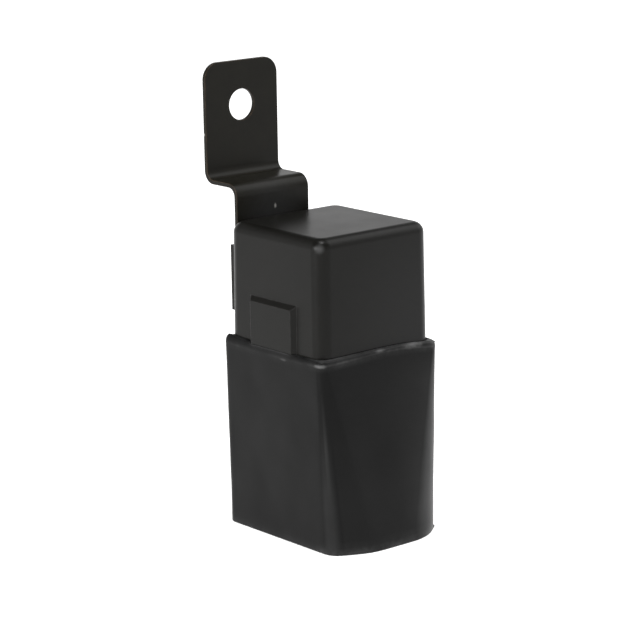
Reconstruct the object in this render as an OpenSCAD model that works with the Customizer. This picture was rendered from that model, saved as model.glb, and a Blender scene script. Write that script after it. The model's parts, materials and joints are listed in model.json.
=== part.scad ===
// Skirted automotive relay with a Z-bent fixing bracket.
// Frame: +Z up, origin in the middle of the boot's lower rim, bracket on the +Y side.

/* [Boot] */
// Height from the boot's lower rim up to the seat of the cover's mouth
skirt_depth = 25.5; // [20:0.5:32]
// Height of boot that grips the cover above its mouth
grip_h = 12.2; // [8:0.1:14]
// Rubber thickness round the cover
grip_wall = 0.95; // [0.7:0.05:1.6]
// Rubber thickness of the skirt round the plug
skirt_wall = 1.35; // [1:0.05:1.8]
// How far each flat side of the skirt closes in toward its lower rim
skirt_taper = 0.2; // [0:0.05:0.8]
// How far the front of the lower rim bows out past its flat side
bow_depth = 5.9; // [3:0.1:7]
// How far the left shoulder of the bow stands out past the flat side
shoulder_depth = 3.2; // [1:0.1:3.6]
// Radius of the left shoulder
shoulder_r = 2.2; // [2:0.1:4]
// Radius where the left shoulder runs into the flat of the bow
brow_r = 4.2; // [3:0.1:6]
// Distance of that radius's centre left of the middle
brow_offset = 6.2; // [4:0.1:8]
// Radius of the wide right-hand end of the bow
sweep_r = 12.0; // [6:0.1:14]
// Radius of the upright corners at the boot's upper rim
rim_corner_r = 1.6; // [1:0.1:3]
// Radius of the back corners at the boot's lower rim
foot_corner_r = 2.0; // [1.9:0.1:4]
// Height of the rounding along the boot's upper edge
lip_drop = 1.2; // [0.4:0.1:2]
// Flat left on top of that rounding
lip_land = 0.15; // [0.05:0.05:0.3]
// Thickness of the inner flange that the cover's mouth stands on
flange_t = 1.2; // [0.8:0.1:2]
// Clearance between the boot and the cover
boot_gap = 0.02; // [0.01:0.01:0.1]

/* [Cover] */
// Width of the cover at its open mouth, over both flat sides
cover_w = 28.2; // [27.8:0.1:32]
// Height of the cover from its mouth to its top
cover_h = 35.1; // [33:0.1:45]
// How much narrower each side is at the top than at the mouth
cover_draft = 0.3; // [0.1:0.05:0.6]
// Side wall of the cover
cover_wall = 1.2; // [0.8:0.05:1.4]
// Top wall of the cover
cover_top_t = 1.3; // [0.9:0.1:2]
// Radius of the cover's upright corners
corner_r = 2.8; // [2.5:0.1:4]
// Rounding of the cover's top edge
top_edge_r = 2.1; // [1:0.1:2.3]

/* [Pad] */
// Width of the raised pad on the left side
pad_w = 12.1; // [8:0.1:16]
// Height of the pad above the boot's upper rim
pad_h = 8.5; // [6:0.1:12]
// How far the pad stands off the cover
pad_proud = 0.9; // [0.5:0.05:1.2]
// How far the pad's edges slope out toward the cover
pad_slope = 0.8; // [0.2:0.1:1.5]

/* [Bracket] */
// Width of the stamped strip
strip_w = 18.1; // [14:0.1:20]
// Sheet thickness
sheet_t = 0.85; // [0.6:0.05:1.2]
// Sideways place of the strip's middle
strip_x = -2.0; // [-3:0.1:0]
// Height of the step's upper face above the cover's top
step_rise = 6.6; // [4:0.1:10]
// Setback from the lower strip's front face to the tab's front face
step_depth = 9.25; // [7:0.05:14]
// Height of the tab above the step
tab_h = 22.7; // [18:0.1:30]
// Inside radius of both bends
bend_r = 1.7; // [1:0.1:2.5]
// Corner radius at the tab's top
tab_corner_r = 3.3; // [1:0.1:6]
// Diameter of the fixing hole
hole_d = 6.2; // [4.5:0.1:8]
// Distance of the hole's centre below the tab's top
hole_drop = 8.85; // [7:0.05:12]

/* [Bracket pocket] */
// Height of the two rails
rail_h = 13.0; // [8:0.1:14]
// Distance of the rails' lower end above the boot's upper rim
rail_rise = 4.7; // [2:0.1:7]
// Thickness of the floor that the strip stands on
rail_floor = 1.0; // [0.6:0.1:2]
// Thickness of each rail's web
rail_web = 0.7; // [0.5:0.1:1.6]
// Thickness of the lip behind the strip
rail_lip_t = 0.5; // [0.4:0.05:1.2]
// How far each lip reaches over the strip
rail_grip = 1.8; // [1:0.1:3]
// Clearance between the strip and the pocket
strip_gap = 0.05; // [0.02:0.01:0.15]
// Distance of the strip behind the plane of the cover's mouth
strip_standoff = 0.2; // [0.1:0.05:0.8]

/* [Base] */
// Thickness of the moulded base plate
base_t = 3.0; // [2.6:0.1:4]
// Thickness of the potting layer below it
seal_t = 1.5; // [1:0.1:2.5]

/* [Blades] */
// Width of a blade
blade_w = 6.3; // [5.5:0.1:6.6]
// Thickness of a blade
blade_t = 0.8; // [0.6:0.05:1]
// Length of a blade below the potting
blade_reach = 11.6; // [9:0.1:14]
// Length of the tapered tip
tip_h = 1.4; // [0.8:0.1:2]
// How much each side of the tip draws in
tip_inset = 0.8; // [0.4:0.05:1.2]
// Diameter of the detent hole
detent_d = 1.7; // [1:0.1:2.2]
// Height of the detent hole above the tip
detent_rise = 4.6; // [3.5:0.1:6]
// Distance from the cover's inner wall to the middle of each coil blade
coil_margin = 4.5; // [3.4:0.1:4.7]
// Distance from the cover's inner wall to the middle of the common blade
common_margin = 4.5; // [4.1:0.1:5.3]
// Distance from the cover's inner wall to the middle of the working blade
work_margin = 4.9; // [4.3:0.1:5.1]
// Height of the coil posts above the base
post_h = 6.0; // [4.8:0.1:8]
// Width of the coil posts
post_w = 2.4; // [1.6:0.1:2.8]

/* [Magnet] */
// How far the yoke and the armature stand out past the bobbin on each side
yoke_margin = 0.2; // [0:0.05:0.4]
// Thickness of the yoke
yoke_t = 1.5; // [1:0.1:1.8]
// Room between the winding and the working blade, where the resistor lies
resistor_room = 3.0; // [2.4:0.1:4.5]
// Wall of the bobbin's tube and its flanges
bobbin_t = 1.0; // [0.7:0.05:1.3]
// How far the flanges stand out past the winding
flange_reach = 0.4; // [0.2:0.05:0.5]
// Outer diameter of the winding as a multiple of the core's
winding_ratio = 2.1; // [1.8:0.05:2.4]
// Step in from the core to its riveted foot
foot_step = 0.8; // [0.4:0.05:1.1]
// How far the pole stands out past the core
pole_reach = 1.4; // [0.8:0.1:2]
// Thickness of the pole
pole_t = 1.0; // [0.7:0.1:1.4]
// Space between the yoke and the cover's back wall, where the return spring sits
spring_room = 3.1; // [2.9:0.1:3.4]
// Inside radius of the yoke's bend
yoke_bend_r = 0.4; // [0.2:0.1:0.8]
// Space left under the cover's top
headroom = 1.2; // [0.8:0.1:2]

/* [Armature] */
// Thickness of the armature
armature_t = 1.5; // [1:0.1:1.8]
// Tilt of the armature at rest, lifted off the pole
lift_deg = 3.5; // [2:0.1:4.2]
// Reach of the armature past the pole
armature_reach = 1.4; // [0.8:0.1:1.6]
// Half width of the armature's tail
tail_half_w = 2.0; // [1.5:0.1:2.6]
// Length of the tail behind the yoke
tail_l = 2.5; // [2.2:0.1:2.7]
// Clearance between faces that meet when the armature moves
contact_gap = 0.03; // [0.02:0.005:0.06]

/* [Contacts] */
// Thickness of the contact leaf
leaf_t = 0.3; // [0.2:0.05:0.5]
// Half width of the leaf over the armature
leaf_half_w = 4.6; // [4:0.1:5.5]
// Half width of the leaf at its contact
leaf_tip_half_w = 2.0; // [1.8:0.1:2.4]
// Diameter of a contact's head
contact_d = 3.0; // [2:0.1:3.4]
// Height of a contact's head at its rim
contact_rim = 0.45; // [0.3:0.05:0.7]
// Extra height of the domed crown
contact_crown = 0.35; // [0.2:0.05:0.5]
// Diameter of a contact's shank
shank_d = 1.4; // [1:0.1:1.8]
// Inside radius of the folds in the contact blades
fold_r = 0.3; // [0.2:0.05:0.5]
// Metal left round a contact's head
contact_margin = 0.3; // [0.15:0.05:0.4]
// Diameter of a leaf rivet's head
rivet_d = 2.0; // [1.6:0.1:2.4]
// Height of a leaf rivet's head
rivet_h = 0.4; // [0.3:0.05:0.6]

/* [Small parts] */
// Wire of the return spring
spring_wire_d = 0.35; // [0.25:0.05:0.4]
// Mean diameter of the return spring
spring_d = 1.9; // [1.5:0.1:2]
// Number of turns of the return spring
spring_turns = 12; // [8:1:16]
// Thickness of the yoke's spring lug
lug_t = 1.0; // [0.7:0.1:1.4]
// Height of the lug above the yoke's foot
lug_rise = 6.0; // [4:0.1:9]
// Diameter of the braid
braid_d = 1.2; // [0.8:0.1:1.4]
// Distance of the braid's lower end below the yoke's upper edge
braid_drop = 14; // [8:0.5:16]
// Diameter of the resistor's body
resistor_d = 1.7; // [1.2:0.1:1.8]
// Diameter of the resistor's waist
resistor_waist_d = 1.5; // [1:0.1:1.7]
// Length of the resistor's body
resistor_l = 4.6; // [3.5:0.1:6]
// Diameter of the resistor's wires
lead_d = 0.5; // [0.3:0.05:0.6]
// Diameter of the coil's wire ends
coil_lead_d = 0.3; // [0.15:0.05:0.4]

/* [Hidden] */
$fn = 48;
// Thickness of the thin slices that a loft is drawn through
sliver = 0.01;
// Segments in a quarter of a drawn arc
arc_steps = 7;
// Segments across the boot's and the cover's rounded upper edges
lip_steps = 5;
edge_steps = 6;
// Steps round one turn of the spring, and sides of its wire
turn_steps = 14;
wire_sides = 6;
// Steps between two points of the braid's path, and sides of the braid
braid_steps = 5;
braid_sides = 8;
// Smallest radius left in an inner corner
least_r = 0.2;
// Overshoot of a cutting shape
over = 1;
// Running clearance round a rivet's or a wire's hole
hole_gap = 0.05;
// Clearance at which two faces count as seated
seat_gap = 0.02;
// Clearance between the moving contact and the riser in front of it
riser_gap = 0.1;

// Heights, from the boot's lower rim upward
mouth_z = skirt_depth;
boot_h = skirt_depth + grip_h;
cover_top = mouth_z + cover_h;
ceiling = cover_top - cover_top_t;
seal_top = mouth_z + seal_t;
base_top = seal_top + base_t;
tip_z = mouth_z - blade_reach;

// The cover narrows evenly from its mouth to its top
function cover_half(z) = cover_w/2 - cover_draft*(z - mouth_z)/cover_h;
function inner_half(z) = cover_half(z) - cover_wall;
// Depth at which the pad and the rails are rooted in the cover's wall
wall_root = inner_half(mouth_z) + cover_wall/3;
rim_half = cover_half(boot_h) + boot_gap + grip_wall;
foot_half = rim_half - skirt_taper;

// Places of the blades
coil_pitch = inner_half(mouth_z) - coil_margin;
common_pitch = inner_half(mouth_z) - common_margin;
work_pitch = inner_half(mouth_z) - work_margin;

// Bracket
strip_y = cover_w/2 + strip_standoff;
strip_low = boot_h + rail_rise + rail_floor + strip_gap;
step_top = cover_top + step_rise;
tab_y = strip_y + step_depth;
tab_top = step_top + tab_h;
hole_z = tab_top - hole_drop;

// Contacts: their crowns are caps of one sphere
contact_h = contact_rim + contact_crown;
crown_r = (pow(contact_d/2, 2) + pow(contact_crown, 2))/(2*contact_crown);
contact_y = -(work_pitch + blade_t/2 + fold_r + contact_d/2);

// The armature tips on the yoke's upper back edge, which is its hinge line
hinge_y = inner_half(ceiling) - spring_room;
contact_arm = hinge_y - contact_y;
crown_centre = armature_t + leaf_t + contact_h - crown_r;
rest_rise = contact_arm*sin(lift_deg) + crown_centre*cos(lift_deg) + crown_r;
upper_arm_z = ceiling - headroom - blade_t;
hinge_z = upper_arm_z - contact_h - contact_gap - rest_rise;
lower_foot_z = hinge_z + armature_t - 2*contact_h - contact_gap;

// Magnet: the winding fills the depth between the yoke and the resistor
winding_d = hinge_y - yoke_t - yoke_bend_r - flange_reach + work_pitch - blade_t/2 - resistor_room;
core_d = winding_d/winding_ratio;
core_foot_d = core_d - 2*foot_step;
pole_d = core_d + 2*pole_reach;
pole_top = hinge_z - contact_gap;
bobbin_low = base_top + yoke_t;
bobbin_high = pole_top - pole_t;
flange_d = winding_d + 2*flange_reach;
yoke_w = flange_d + 2*yoke_margin;
coil_y = hinge_y - yoke_t - yoke_bend_r - flange_d/2;
armature_front = coil_y - pole_d/2 - armature_reach;

// Return spring and its lug
spring_y = hinge_y + spring_room/2;
lug_z = base_top + lug_rise;
hook_hole_d = 3*spring_wire_d;

// Height at which the coil's and the resistor's wires meet the coil posts
wire_z = base_top + 0.6*post_h;

// Height at rest of a face that lies h above the armature's underside
function rest_z(y, h) = hinge_z + (hinge_y - y)*tan(lift_deg) + h/cos(lift_deg);

// Embedded run and riser of the resting blade
run_top = seal_top + base_t/2 + blade_t/2;
run_gap = 1.5*blade_t;
run_left = blade_w/2 + run_gap;
run_right = coil_pitch - run_gap;
riser_y = contact_y - contact_d/2 - riser_gap;

// Colours
rubber = [0.10, 0.10, 0.11];
nylon = [0.13, 0.13, 0.13];
black_paint = [0.09, 0.09, 0.09];
base_plastic = [0.16, 0.16, 0.17];
resin = [0.10, 0.09, 0.08];
bobbin_plastic = [0.85, 0.83, 0.74];
brass = [0.72, 0.60, 0.36];
bronze = [0.74, 0.50, 0.30];
copper = [0.62, 0.30, 0.14];
plated_iron = [0.63, 0.63, 0.61];
silver = [0.80, 0.80, 0.78];
spring_steel = [0.70, 0.70, 0.70];
lacquer = [0.60, 0.50, 0.36];

// ---- Shared shapes ----

// Points of a rectangle with rounded corners, from its half sizes
function rounded_rect(hx, hy, r) =
    [for (q = [0:3], i = [0:arc_steps])
        let (a = 90*(q + i/arc_steps), sx = (q == 0 || q == 3) ? 1 : -1, sy = (q < 2) ? 1 : -1)
        [sx*(hx - r) + r*cos(a), sy*(hy - r) + r*sin(a)]];

function unit(v) = v/norm(v);

// A thin slice at height z: one station of a loft
module station(z) translate([0, 0, z]) linear_extrude(sliver) children();

// Turns a profile drawn in Y and Z into a solid centred on X
module across_x(w) translate([-w/2, 0, 0]) rotate([90, 0, 90]) linear_extrude(w) children();

// Turns a profile drawn in X and Z into a solid centred on Y
module across_y(t) translate([0, t/2, 0]) rotate([90, 0, 0]) linear_extrude(t) children();

// Quarter ring of sheet metal, turned to start at angle a
module sheet_bend(r, t, a) rotate(a) difference() {
    intersection() {
        circle(r + t);
        square(r + t);
    }
    circle(r);
}

// Plain box between two corners
module block(low, high) translate(low) cube(high - low);

// Round wire between two points
module rod(from, to, d) {
    v = to - from;
    translate(from)
        rotate([0, acos(v.z/norm(v)), atan2(v.y, v.x)])
            cylinder(d = d, h = norm(v));
}

// ---- Tube swept along a path ----

// Direction of the path at each of its points
function headings(path) = let (n = len(path))
    [for (i = [0:n - 1]) unit(path[min(i + 1, n - 1)] - path[max(i - 1, 0)])];

// The side direction, carried along so that the tube doesn't twist
function square_to(side, heading) = unit(side - (side*heading)*heading);
function sides(heading, first) =
    [for (i = 0, s = square_to(first, heading[0]); i < len(heading);
        s = (i + 1 < len(heading)) ? square_to(s, heading[i + 1]) : s, i = i + 1) s];

module swept_tube(path, d, facets, first_side) {
    t = headings(path);
    s = sides(t, first_side);
    last = len(path) - 1;
    points = [for (i = [0:last], j = [0:facets - 1])
        let (a = 360*j/facets) path[i] + d/2*(cos(a)*s[i] + sin(a)*cross(t[i], s[i]))];
    skin = [for (i = [0:last - 1], j = [0:facets - 1])
        let (k = (j + 1)%facets, low = i*facets, high = low + facets)
        [low + j, high + j, high + k, low + k]];
    low_cap = [for (j = [0:facets - 1]) j];
    high_cap = [for (j = [facets - 1:-1:0]) last*facets + j];
    polyhedron(points, concat([low_cap], skin, [high_cap]), convexity = 8);
}

// Smooth curve through hand-placed points, with so many steps between each pair
function curve_point(a, b, c, d, u) = 0.5*((2*b) + (c - a)*u + (2*a - 5*b + 4*c - d)*u*u
    + (3*b - a - 3*c + d)*u*u*u);
function smooth_path(p, steps) = let (n = len(p) - 1)
    concat([for (i = [0:n - 1], k = [0:steps - 1])
        curve_point(p[max(i - 1, 0)], p[i], p[i + 1], p[min(i + 2, n)], k/steps)], [p[n]]);

// ---- Boot ----

// The lower rim: straight at the sides and the back, bowed out in front.
// Each corner is a circle, and drawing the circles smaller moves the whole outline inward.
foot_circles = [
    [-foot_half + foot_corner_r, foot_half - foot_corner_r, foot_corner_r],
    [foot_half - foot_corner_r, foot_half - foot_corner_r, foot_corner_r],
    [-foot_half + shoulder_r, -foot_half - shoulder_depth + shoulder_r, shoulder_r],
    [-brow_offset, -foot_half - bow_depth + brow_r, brow_r],
    [foot_half - sweep_r, -foot_half - bow_depth + sweep_r, sweep_r]];

module foot_outline(inset) hull() for (c = foot_circles)
    translate([c.x, c.y]) circle(c.z - inset);

// Loft from the bowed lower rim to the square upper rim, with a rounded upper edge.
// Between the two rims the front is ruled: a flat flanked by two cones.
module skirt_form(low_z, inset) hull() {
    station(low_z) foot_outline(inset);
    for (i = [0:lip_steps]) {
        a = 90*i/lip_steps;
        step_in = inset + (grip_wall - lip_land)*(1 - cos(a));
        half = rim_half - step_in;
        station(boot_h - sliver - lip_drop*(1 - sin(a)))
            polygon(rounded_rect(half, half, max(rim_corner_r - step_in, least_r)));
    }
}

module boot() color(rubber) difference() {
    skirt_form(0, 0);
    // room for the plug, under the inner flange
    intersection() {
        skirt_form(-over, skirt_wall);
        block([-cover_w, -cover_w, -2*over], [cover_w, cover_w, mouth_z - flange_t]);
    }
    // window through the flange, in line with the cover's inner wall
    translate([0, 0, tip_z]) linear_extrude(mouth_z - tip_z + over)
        polygon(rounded_rect(inner_half(mouth_z), inner_half(mouth_z), corner_r - cover_wall));
    // pocket that grips the cover
    hull() {
        cover_station(mouth_z, boot_gap);
        cover_station(boot_h + over, boot_gap);
    }
}

// ---- Cover ----

module cover_station(z, grow) station(z)
    polygon(rounded_rect(cover_half(z) + grow, cover_half(z) + grow, corner_r + grow));

// The cover's form up to top_z, grown outward by grow, with its top edge rounded
module cover_form(low_z, top_z, grow, edge_r) hull() {
    cover_station(low_z, grow);
    for (i = [0:edge_steps]) {
        a = 90*i/edge_steps;
        z = top_z - sliver - edge_r*(1 - sin(a));
        half = cover_half(z) + grow - edge_r*(1 - cos(a));
        r = max(corner_r + grow - edge_r*(1 - cos(a)), least_r);
        station(z) polygon(rounded_rect(half, half, r));
    }
}

// Raised pad with sloped edges, flush with the boot and standing on its upper rim
module pad() {
    low = boot_h + boot_gap;
    high = low + pad_h;
    root = wall_root;
    face = cover_half(boot_h) + pad_proud;
    flare = pad_slope*(face - root)/pad_proud;
    intersection() {
        translate([0, 0, low]) linear_extrude(pad_h + flare) polygon([
            [-face, -pad_w/2], [-face, pad_w/2],
            [-root, pad_w/2 + flare], [-root, -pad_w/2 - flare]]);
        across_y(pad_w + 2*flare + over) polygon([
            [-face, low], [-face, high], [-root, high + flare], [-root, low]]);
    }
}

// Pocket for the bracket: two rails with lips round a slot, closed by a floor
module bracket_pocket() {
    low = boot_h + rail_rise;
    slot_half = strip_w/2 + strip_gap;
    slot_back = strip_y + sheet_t + strip_gap;
    translate([strip_x, 0, low]) difference() {
        block([-slot_half - rail_web, wall_root, 0],
            [slot_half + rail_web, slot_back + rail_lip_t, rail_h]);
        block([-slot_half, strip_y - strip_gap, rail_floor],
            [slot_half, slot_back, rail_h + over]);
        block([-slot_half + rail_grip, strip_y, rail_floor],
            [slot_half - rail_grip, slot_back + rail_lip_t + over, rail_h + over]);
    }
}

module cover() color(nylon) difference() {
    union() {
        cover_form(mouth_z, cover_top, 0, top_edge_r);
        pad();
        bracket_pocket();
    }
    cover_form(mouth_z, ceiling, -cover_wall, max(top_edge_r - cover_top_t, least_r));
    block([-cover_w, -cover_w, mouth_z - over], [cover_w, cover_w, mouth_z]);
    translate([0, 0, mouth_z - over]) linear_extrude(over + sliver)
        polygon(rounded_rect(inner_half(mouth_z), inner_half(mouth_z), corner_r - cover_wall));
}

// ---- Bracket ----

// Side view of the folded strip: up the cover, back over the step, up the tab
module bracket_profile() {
    low_bend = [strip_y + sheet_t + bend_r, step_top - sheet_t - bend_r];
    high_bend = [tab_y - bend_r, step_top + bend_r];
    translate([strip_y, strip_low]) square([sheet_t, low_bend.y - strip_low]);
    translate(low_bend) sheet_bend(bend_r, sheet_t, 90);
    translate([low_bend.x, step_top - sheet_t]) square([high_bend.x - low_bend.x, sheet_t]);
    translate(high_bend) sheet_bend(bend_r, sheet_t, 270);
    translate([tab_y, high_bend.y]) square([sheet_t, tab_top - high_bend.y]);
}

// What is cut off to round the tab's upper corner on side s
module tab_corner(s) translate([s*(strip_w/2 - tab_corner_r), 0, tab_top - tab_corner_r])
    rotate([90, 0, 0]) linear_extrude(2*over + sheet_t) difference() {
        translate([s > 0 ? 0 : -tab_corner_r - over, 0])
            square([tab_corner_r + over, tab_corner_r + over]);
        circle(tab_corner_r);
    }

module bracket() color(black_paint) translate([strip_x, 0, 0]) difference() {
    across_x(strip_w) bracket_profile();
    for (s = [-1, 1]) translate([0, tab_y + sheet_t + over, 0]) tab_corner(s);
    translate([0, tab_y - over, hole_z]) rotate([-90, 0, 0])
        cylinder(d = hole_d, h = sheet_t + 2*over);
}

// ---- Blades ----

// One blade with its tapered tip, standing across X, up to the height top_z
module blade(top_z) intersection() {
    across_y(blade_t) difference() {
        polygon([[-blade_w/2, tip_z + tip_h], [-blade_w/2 + tip_inset, tip_z],
            [blade_w/2 - tip_inset, tip_z], [blade_w/2, tip_z + tip_h],
            [blade_w/2, top_z], [-blade_w/2, top_z]]);
        translate([0, tip_z + detent_rise]) circle(d = detent_d);
    }
    across_x(blade_w) polygon([[-blade_t/2, tip_z + tip_h], [-blade_t/4, tip_z],
        [blade_t/4, tip_z], [blade_t/2, tip_z + tip_h], [blade_t/2, top_z], [-blade_t/2, top_z]]);
}

module blade_30() color(brass)
    translate([0, common_pitch, 0]) rotate(90) blade(base_top);

// Coil blade on side s, with the post that the coil's wire is wound on
module coil_blade(s) translate([s*coil_pitch, 0, 0]) {
    rotate(90) blade(base_top);
    block([-blade_t/2, -blade_w/2, base_top - blade_t], [blade_t/2, post_w - blade_w/2, base_top + post_h]);
}

module blade_85() color(brass) coil_blade(-1);
module blade_86() color(brass) coil_blade(1);

// Plate of a contact blade with its rivet hole, drawn from above
module contact_plate(from, to, z) difference() {
    block([from.x, from.y, z], [to.x, to.y, z + blade_t]);
    translate([0, contact_y, z - over]) cylinder(d = shank_d + hole_gap, h = blade_t + 2*over);
}

module blade_87() color(brass) {
    half = contact_d/2 + contact_margin;
    post_y = -work_pitch - blade_t/2;
    bend = [post_y - fold_r, lower_foot_z - blade_t - fold_r];
    translate([0, -work_pitch, 0]) blade(base_top);
    block([-half, post_y, base_top - blade_t], [half, post_y + blade_t, bend.y]);
    across_x(2*half) translate(bend) sheet_bend(fold_r, blade_t, 0);
    contact_plate([-half, contact_y - half], [half, bend.x], lower_foot_z - blade_t);
}

module blade_87a() color(brass) {
    half = contact_d/2 + contact_margin;
    start = [-blade_t/2 - fold_r, run_top - blade_t - fold_r];
    turn_y = riser_y + blade_t/2 + fold_r;
    blade(start.y);
    across_x(blade_w) translate(start) sheet_bend(fold_r, blade_t, 0);
    // run inside the base, round the working blade
    block([-blade_w/2, start.x - blade_w/2, run_top - blade_t], [run_right, start.x, run_top]);
    block([run_left, turn_y, run_top - blade_t], [run_right, start.x, run_top]);
    // riser in front, folded at both ends
    translate([(run_left + run_right)/2, 0, 0]) across_x(run_right - run_left) {
        translate([turn_y, run_top + fold_r]) sheet_bend(fold_r, blade_t, 180);
        translate([riser_y - blade_t/2, run_top + fold_r])
            square([blade_t, upper_arm_z - run_top - 2*fold_r]);
        translate([turn_y, upper_arm_z - fold_r]) sheet_bend(fold_r, blade_t, 90);
    }
    // arm over the moving contact
    contact_plate([-half, contact_y - half], [run_left - blade_t/2, contact_y + half], upper_arm_z);
    block([run_left - blade_t/2, turn_y, upper_arm_z], [run_right, contact_y + half, upper_arm_z + blade_t]);
}

// ---- Base ----

// Layer of the closed mouth, moulded or poured round the blades
module mouth_layer(low_z, high_z) difference() {
    half = inner_half(high_z) - seat_gap;
    translate([0, 0, low_z]) linear_extrude(high_z - low_z)
        polygon(rounded_rect(half, half, corner_r - cover_wall));
    blade_30();
    blade_85();
    blade_86();
    blade_87();
    blade_87a();
}

module base() color(base_plastic) mouth_layer(seal_top, base_top);
module base_seal() color(resin) mouth_layer(mouth_z, seal_top);

// ---- Magnet ----

// Side view of the yoke: a foot and a leg with a rounded fold between them
module yoke_profile() difference() {
    leg_y = hinge_y - yoke_t;
    bend = [leg_y - yoke_bend_r, base_top + yoke_t + yoke_bend_r];
    reach = hinge_y - armature_front;
    union() {
        translate([armature_front, base_top]) square([bend.x - armature_front, pole_top - base_top]);
        translate([armature_front, bend.y]) square([reach, pole_top - bend.y]);
        translate(bend) circle(yoke_bend_r + yoke_t);
    }
    // space over the foot and in front of the leg
    translate([armature_front - over, bend.y]) square([reach - yoke_t + over, pole_top]);
    translate([armature_front - over, base_top + yoke_t])
        square([bend.x - armature_front + over, pole_top]);
    translate(bend) circle(yoke_bend_r);
}

module yoke() color(plated_iron) {
    difference() {
        across_x(yoke_w) yoke_profile();
        translate([0, coil_y, base_top - over]) cylinder(d = core_foot_d, h = yoke_t + 2*over);
    }
    // lug that holds the return spring's lower hook
    difference() {
        block([-tail_half_w, hinge_y - yoke_t/2, lug_z], [tail_half_w, hinge_y + tail_l, lug_z + lug_t]);
        translate([0, spring_y, lug_z - over]) cylinder(d = hook_hole_d, h = lug_t + 2*over);
    }
}

module core() color(plated_iron) translate([0, coil_y, 0]) {
    translate([0, 0, base_top]) cylinder(d = core_foot_d, h = yoke_t);
    translate([0, 0, bobbin_low]) cylinder(d = core_d, h = bobbin_high - bobbin_low);
    translate([0, 0, bobbin_high]) cylinder(d = pole_d, h = pole_t);
}

module bobbin() color(bobbin_plastic) translate([0, coil_y, 0]) difference() {
    union() {
        translate([0, 0, bobbin_low]) cylinder(d = core_d + 2*bobbin_t, h = bobbin_high - bobbin_low);
        for (z = [bobbin_low, bobbin_high - bobbin_t])
            translate([0, 0, z]) cylinder(d = flange_d, h = bobbin_t);
    }
    translate([0, 0, bobbin_low - over])
        cylinder(d = core_d + hole_gap, h = bobbin_high - bobbin_low + 2*over);
}

module coil_winding() color(copper)
    translate([0, coil_y, bobbin_low + bobbin_t]) difference() {
        h = bobbin_high - bobbin_low - 2*bobbin_t;
        cylinder(d = winding_d, h = h);
        translate([0, 0, -over]) cylinder(d = core_d + 2*bobbin_t, h = h + 2*over);
    }

module coil_leads() color(copper) for (s = [-1, 1]) {
    post = [s*(coil_pitch - blade_t/2), post_w/2 - blade_w/2, wire_z];
    middle = [0, coil_y, wire_z];
    way = unit(post - middle);
    rod(middle + way*(winding_d/2 + seat_gap), post - way*coil_lead_d/2, coil_lead_d);
}

// ---- Armature, drawn closed and then tipped open to its place at rest ----

module at_rest() translate([0, hinge_y, hinge_z]) rotate([-lift_deg, 0, 0])
    translate([0, -hinge_y, -hinge_z]) children();

leaf_back = hinge_y - yoke_t;
leaf_front = contact_y - contact_d/2 - contact_margin;
rivet_x = leaf_half_w - rivet_d;
rivet_y = armature_front + rivet_d*1.5;

module armature() color(plated_iron) at_rest() difference() {
    nose = yoke_w/8;
    translate([0, 0, hinge_z]) linear_extrude(armature_t) polygon([
        [-yoke_w/2, hinge_y], [-yoke_w/2, armature_front + nose],
        [-yoke_w/2 + nose, armature_front], [yoke_w/2 - nose, armature_front],
        [yoke_w/2, armature_front + nose], [yoke_w/2, hinge_y],
        [tail_half_w, hinge_y], [tail_half_w, hinge_y + tail_l],
        [-tail_half_w, hinge_y + tail_l], [-tail_half_w, hinge_y]]);
    translate([0, spring_y, hinge_z - over]) cylinder(d = hook_hole_d, h = armature_t + 2*over);
    for (s = [-1, 1]) translate([s*rivet_x, rivet_y, hinge_z - over])
        cylinder(d = rivet_d/2 + hole_gap, h = armature_t + 2*over);
}

module contact_leaf() color(bronze) at_rest() difference() {
    narrow = armature_front - leaf_half_w/4;
    translate([0, 0, hinge_z + armature_t]) linear_extrude(leaf_t) polygon([
        [-leaf_half_w, leaf_back], [-leaf_half_w, armature_front],
        [-leaf_tip_half_w, narrow], [-leaf_tip_half_w, leaf_front],
        [leaf_tip_half_w, leaf_front], [leaf_tip_half_w, narrow],
        [leaf_half_w, armature_front], [leaf_half_w, leaf_back]]);
    for (s = [-1, 1]) translate([s*rivet_x, rivet_y, hinge_z])
        cylinder(d = rivet_d/2 + hole_gap, h = armature_t + leaf_t + over);
    translate([0, contact_y, hinge_z]) cylinder(d = shank_d + hole_gap, h = armature_t + leaf_t + over);
}

module leaf_rivets() color(brass) at_rest() for (s = [-1, 1])
    translate([s*rivet_x, rivet_y, hinge_z]) {
        translate([0, 0, armature_t/4]) cylinder(d = rivet_d/2, h = armature_t*3/4 + leaf_t);
        translate([0, 0, armature_t + leaf_t]) cylinder(d = rivet_d, h = rivet_h);
    }

// ---- Contacts ----

// Domed head standing on z = 0
module contact_head() intersection() {
    cylinder(d = contact_d, h = contact_h);
    translate([0, 0, contact_h - crown_r]) sphere(crown_r);
}

module moving_contact() color(silver) at_rest() translate([0, contact_y, hinge_z + armature_t]) {
    translate([0, 0, leaf_t]) contact_head();
    mirror([0, 0, 1]) contact_head();
    cylinder(d = shank_d, h = leaf_t);
}

// Head, shank and upset end of a contact riveted through a blade
module fixed_contact() {
    contact_head();
    translate([0, 0, -blade_t]) cylinder(d = shank_d, h = blade_t);
    translate([0, 0, -blade_t - contact_margin]) cylinder(d = shank_d + 2*contact_margin, h = contact_margin);
}

module lower_contact() color(silver)
    translate([0, contact_y, lower_foot_z]) fixed_contact();
module upper_contact() color(silver)
    translate([0, contact_y, upper_arm_z]) mirror([0, 0, 1]) fixed_contact();

// ---- Springs, braid and resistor ----

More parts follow.
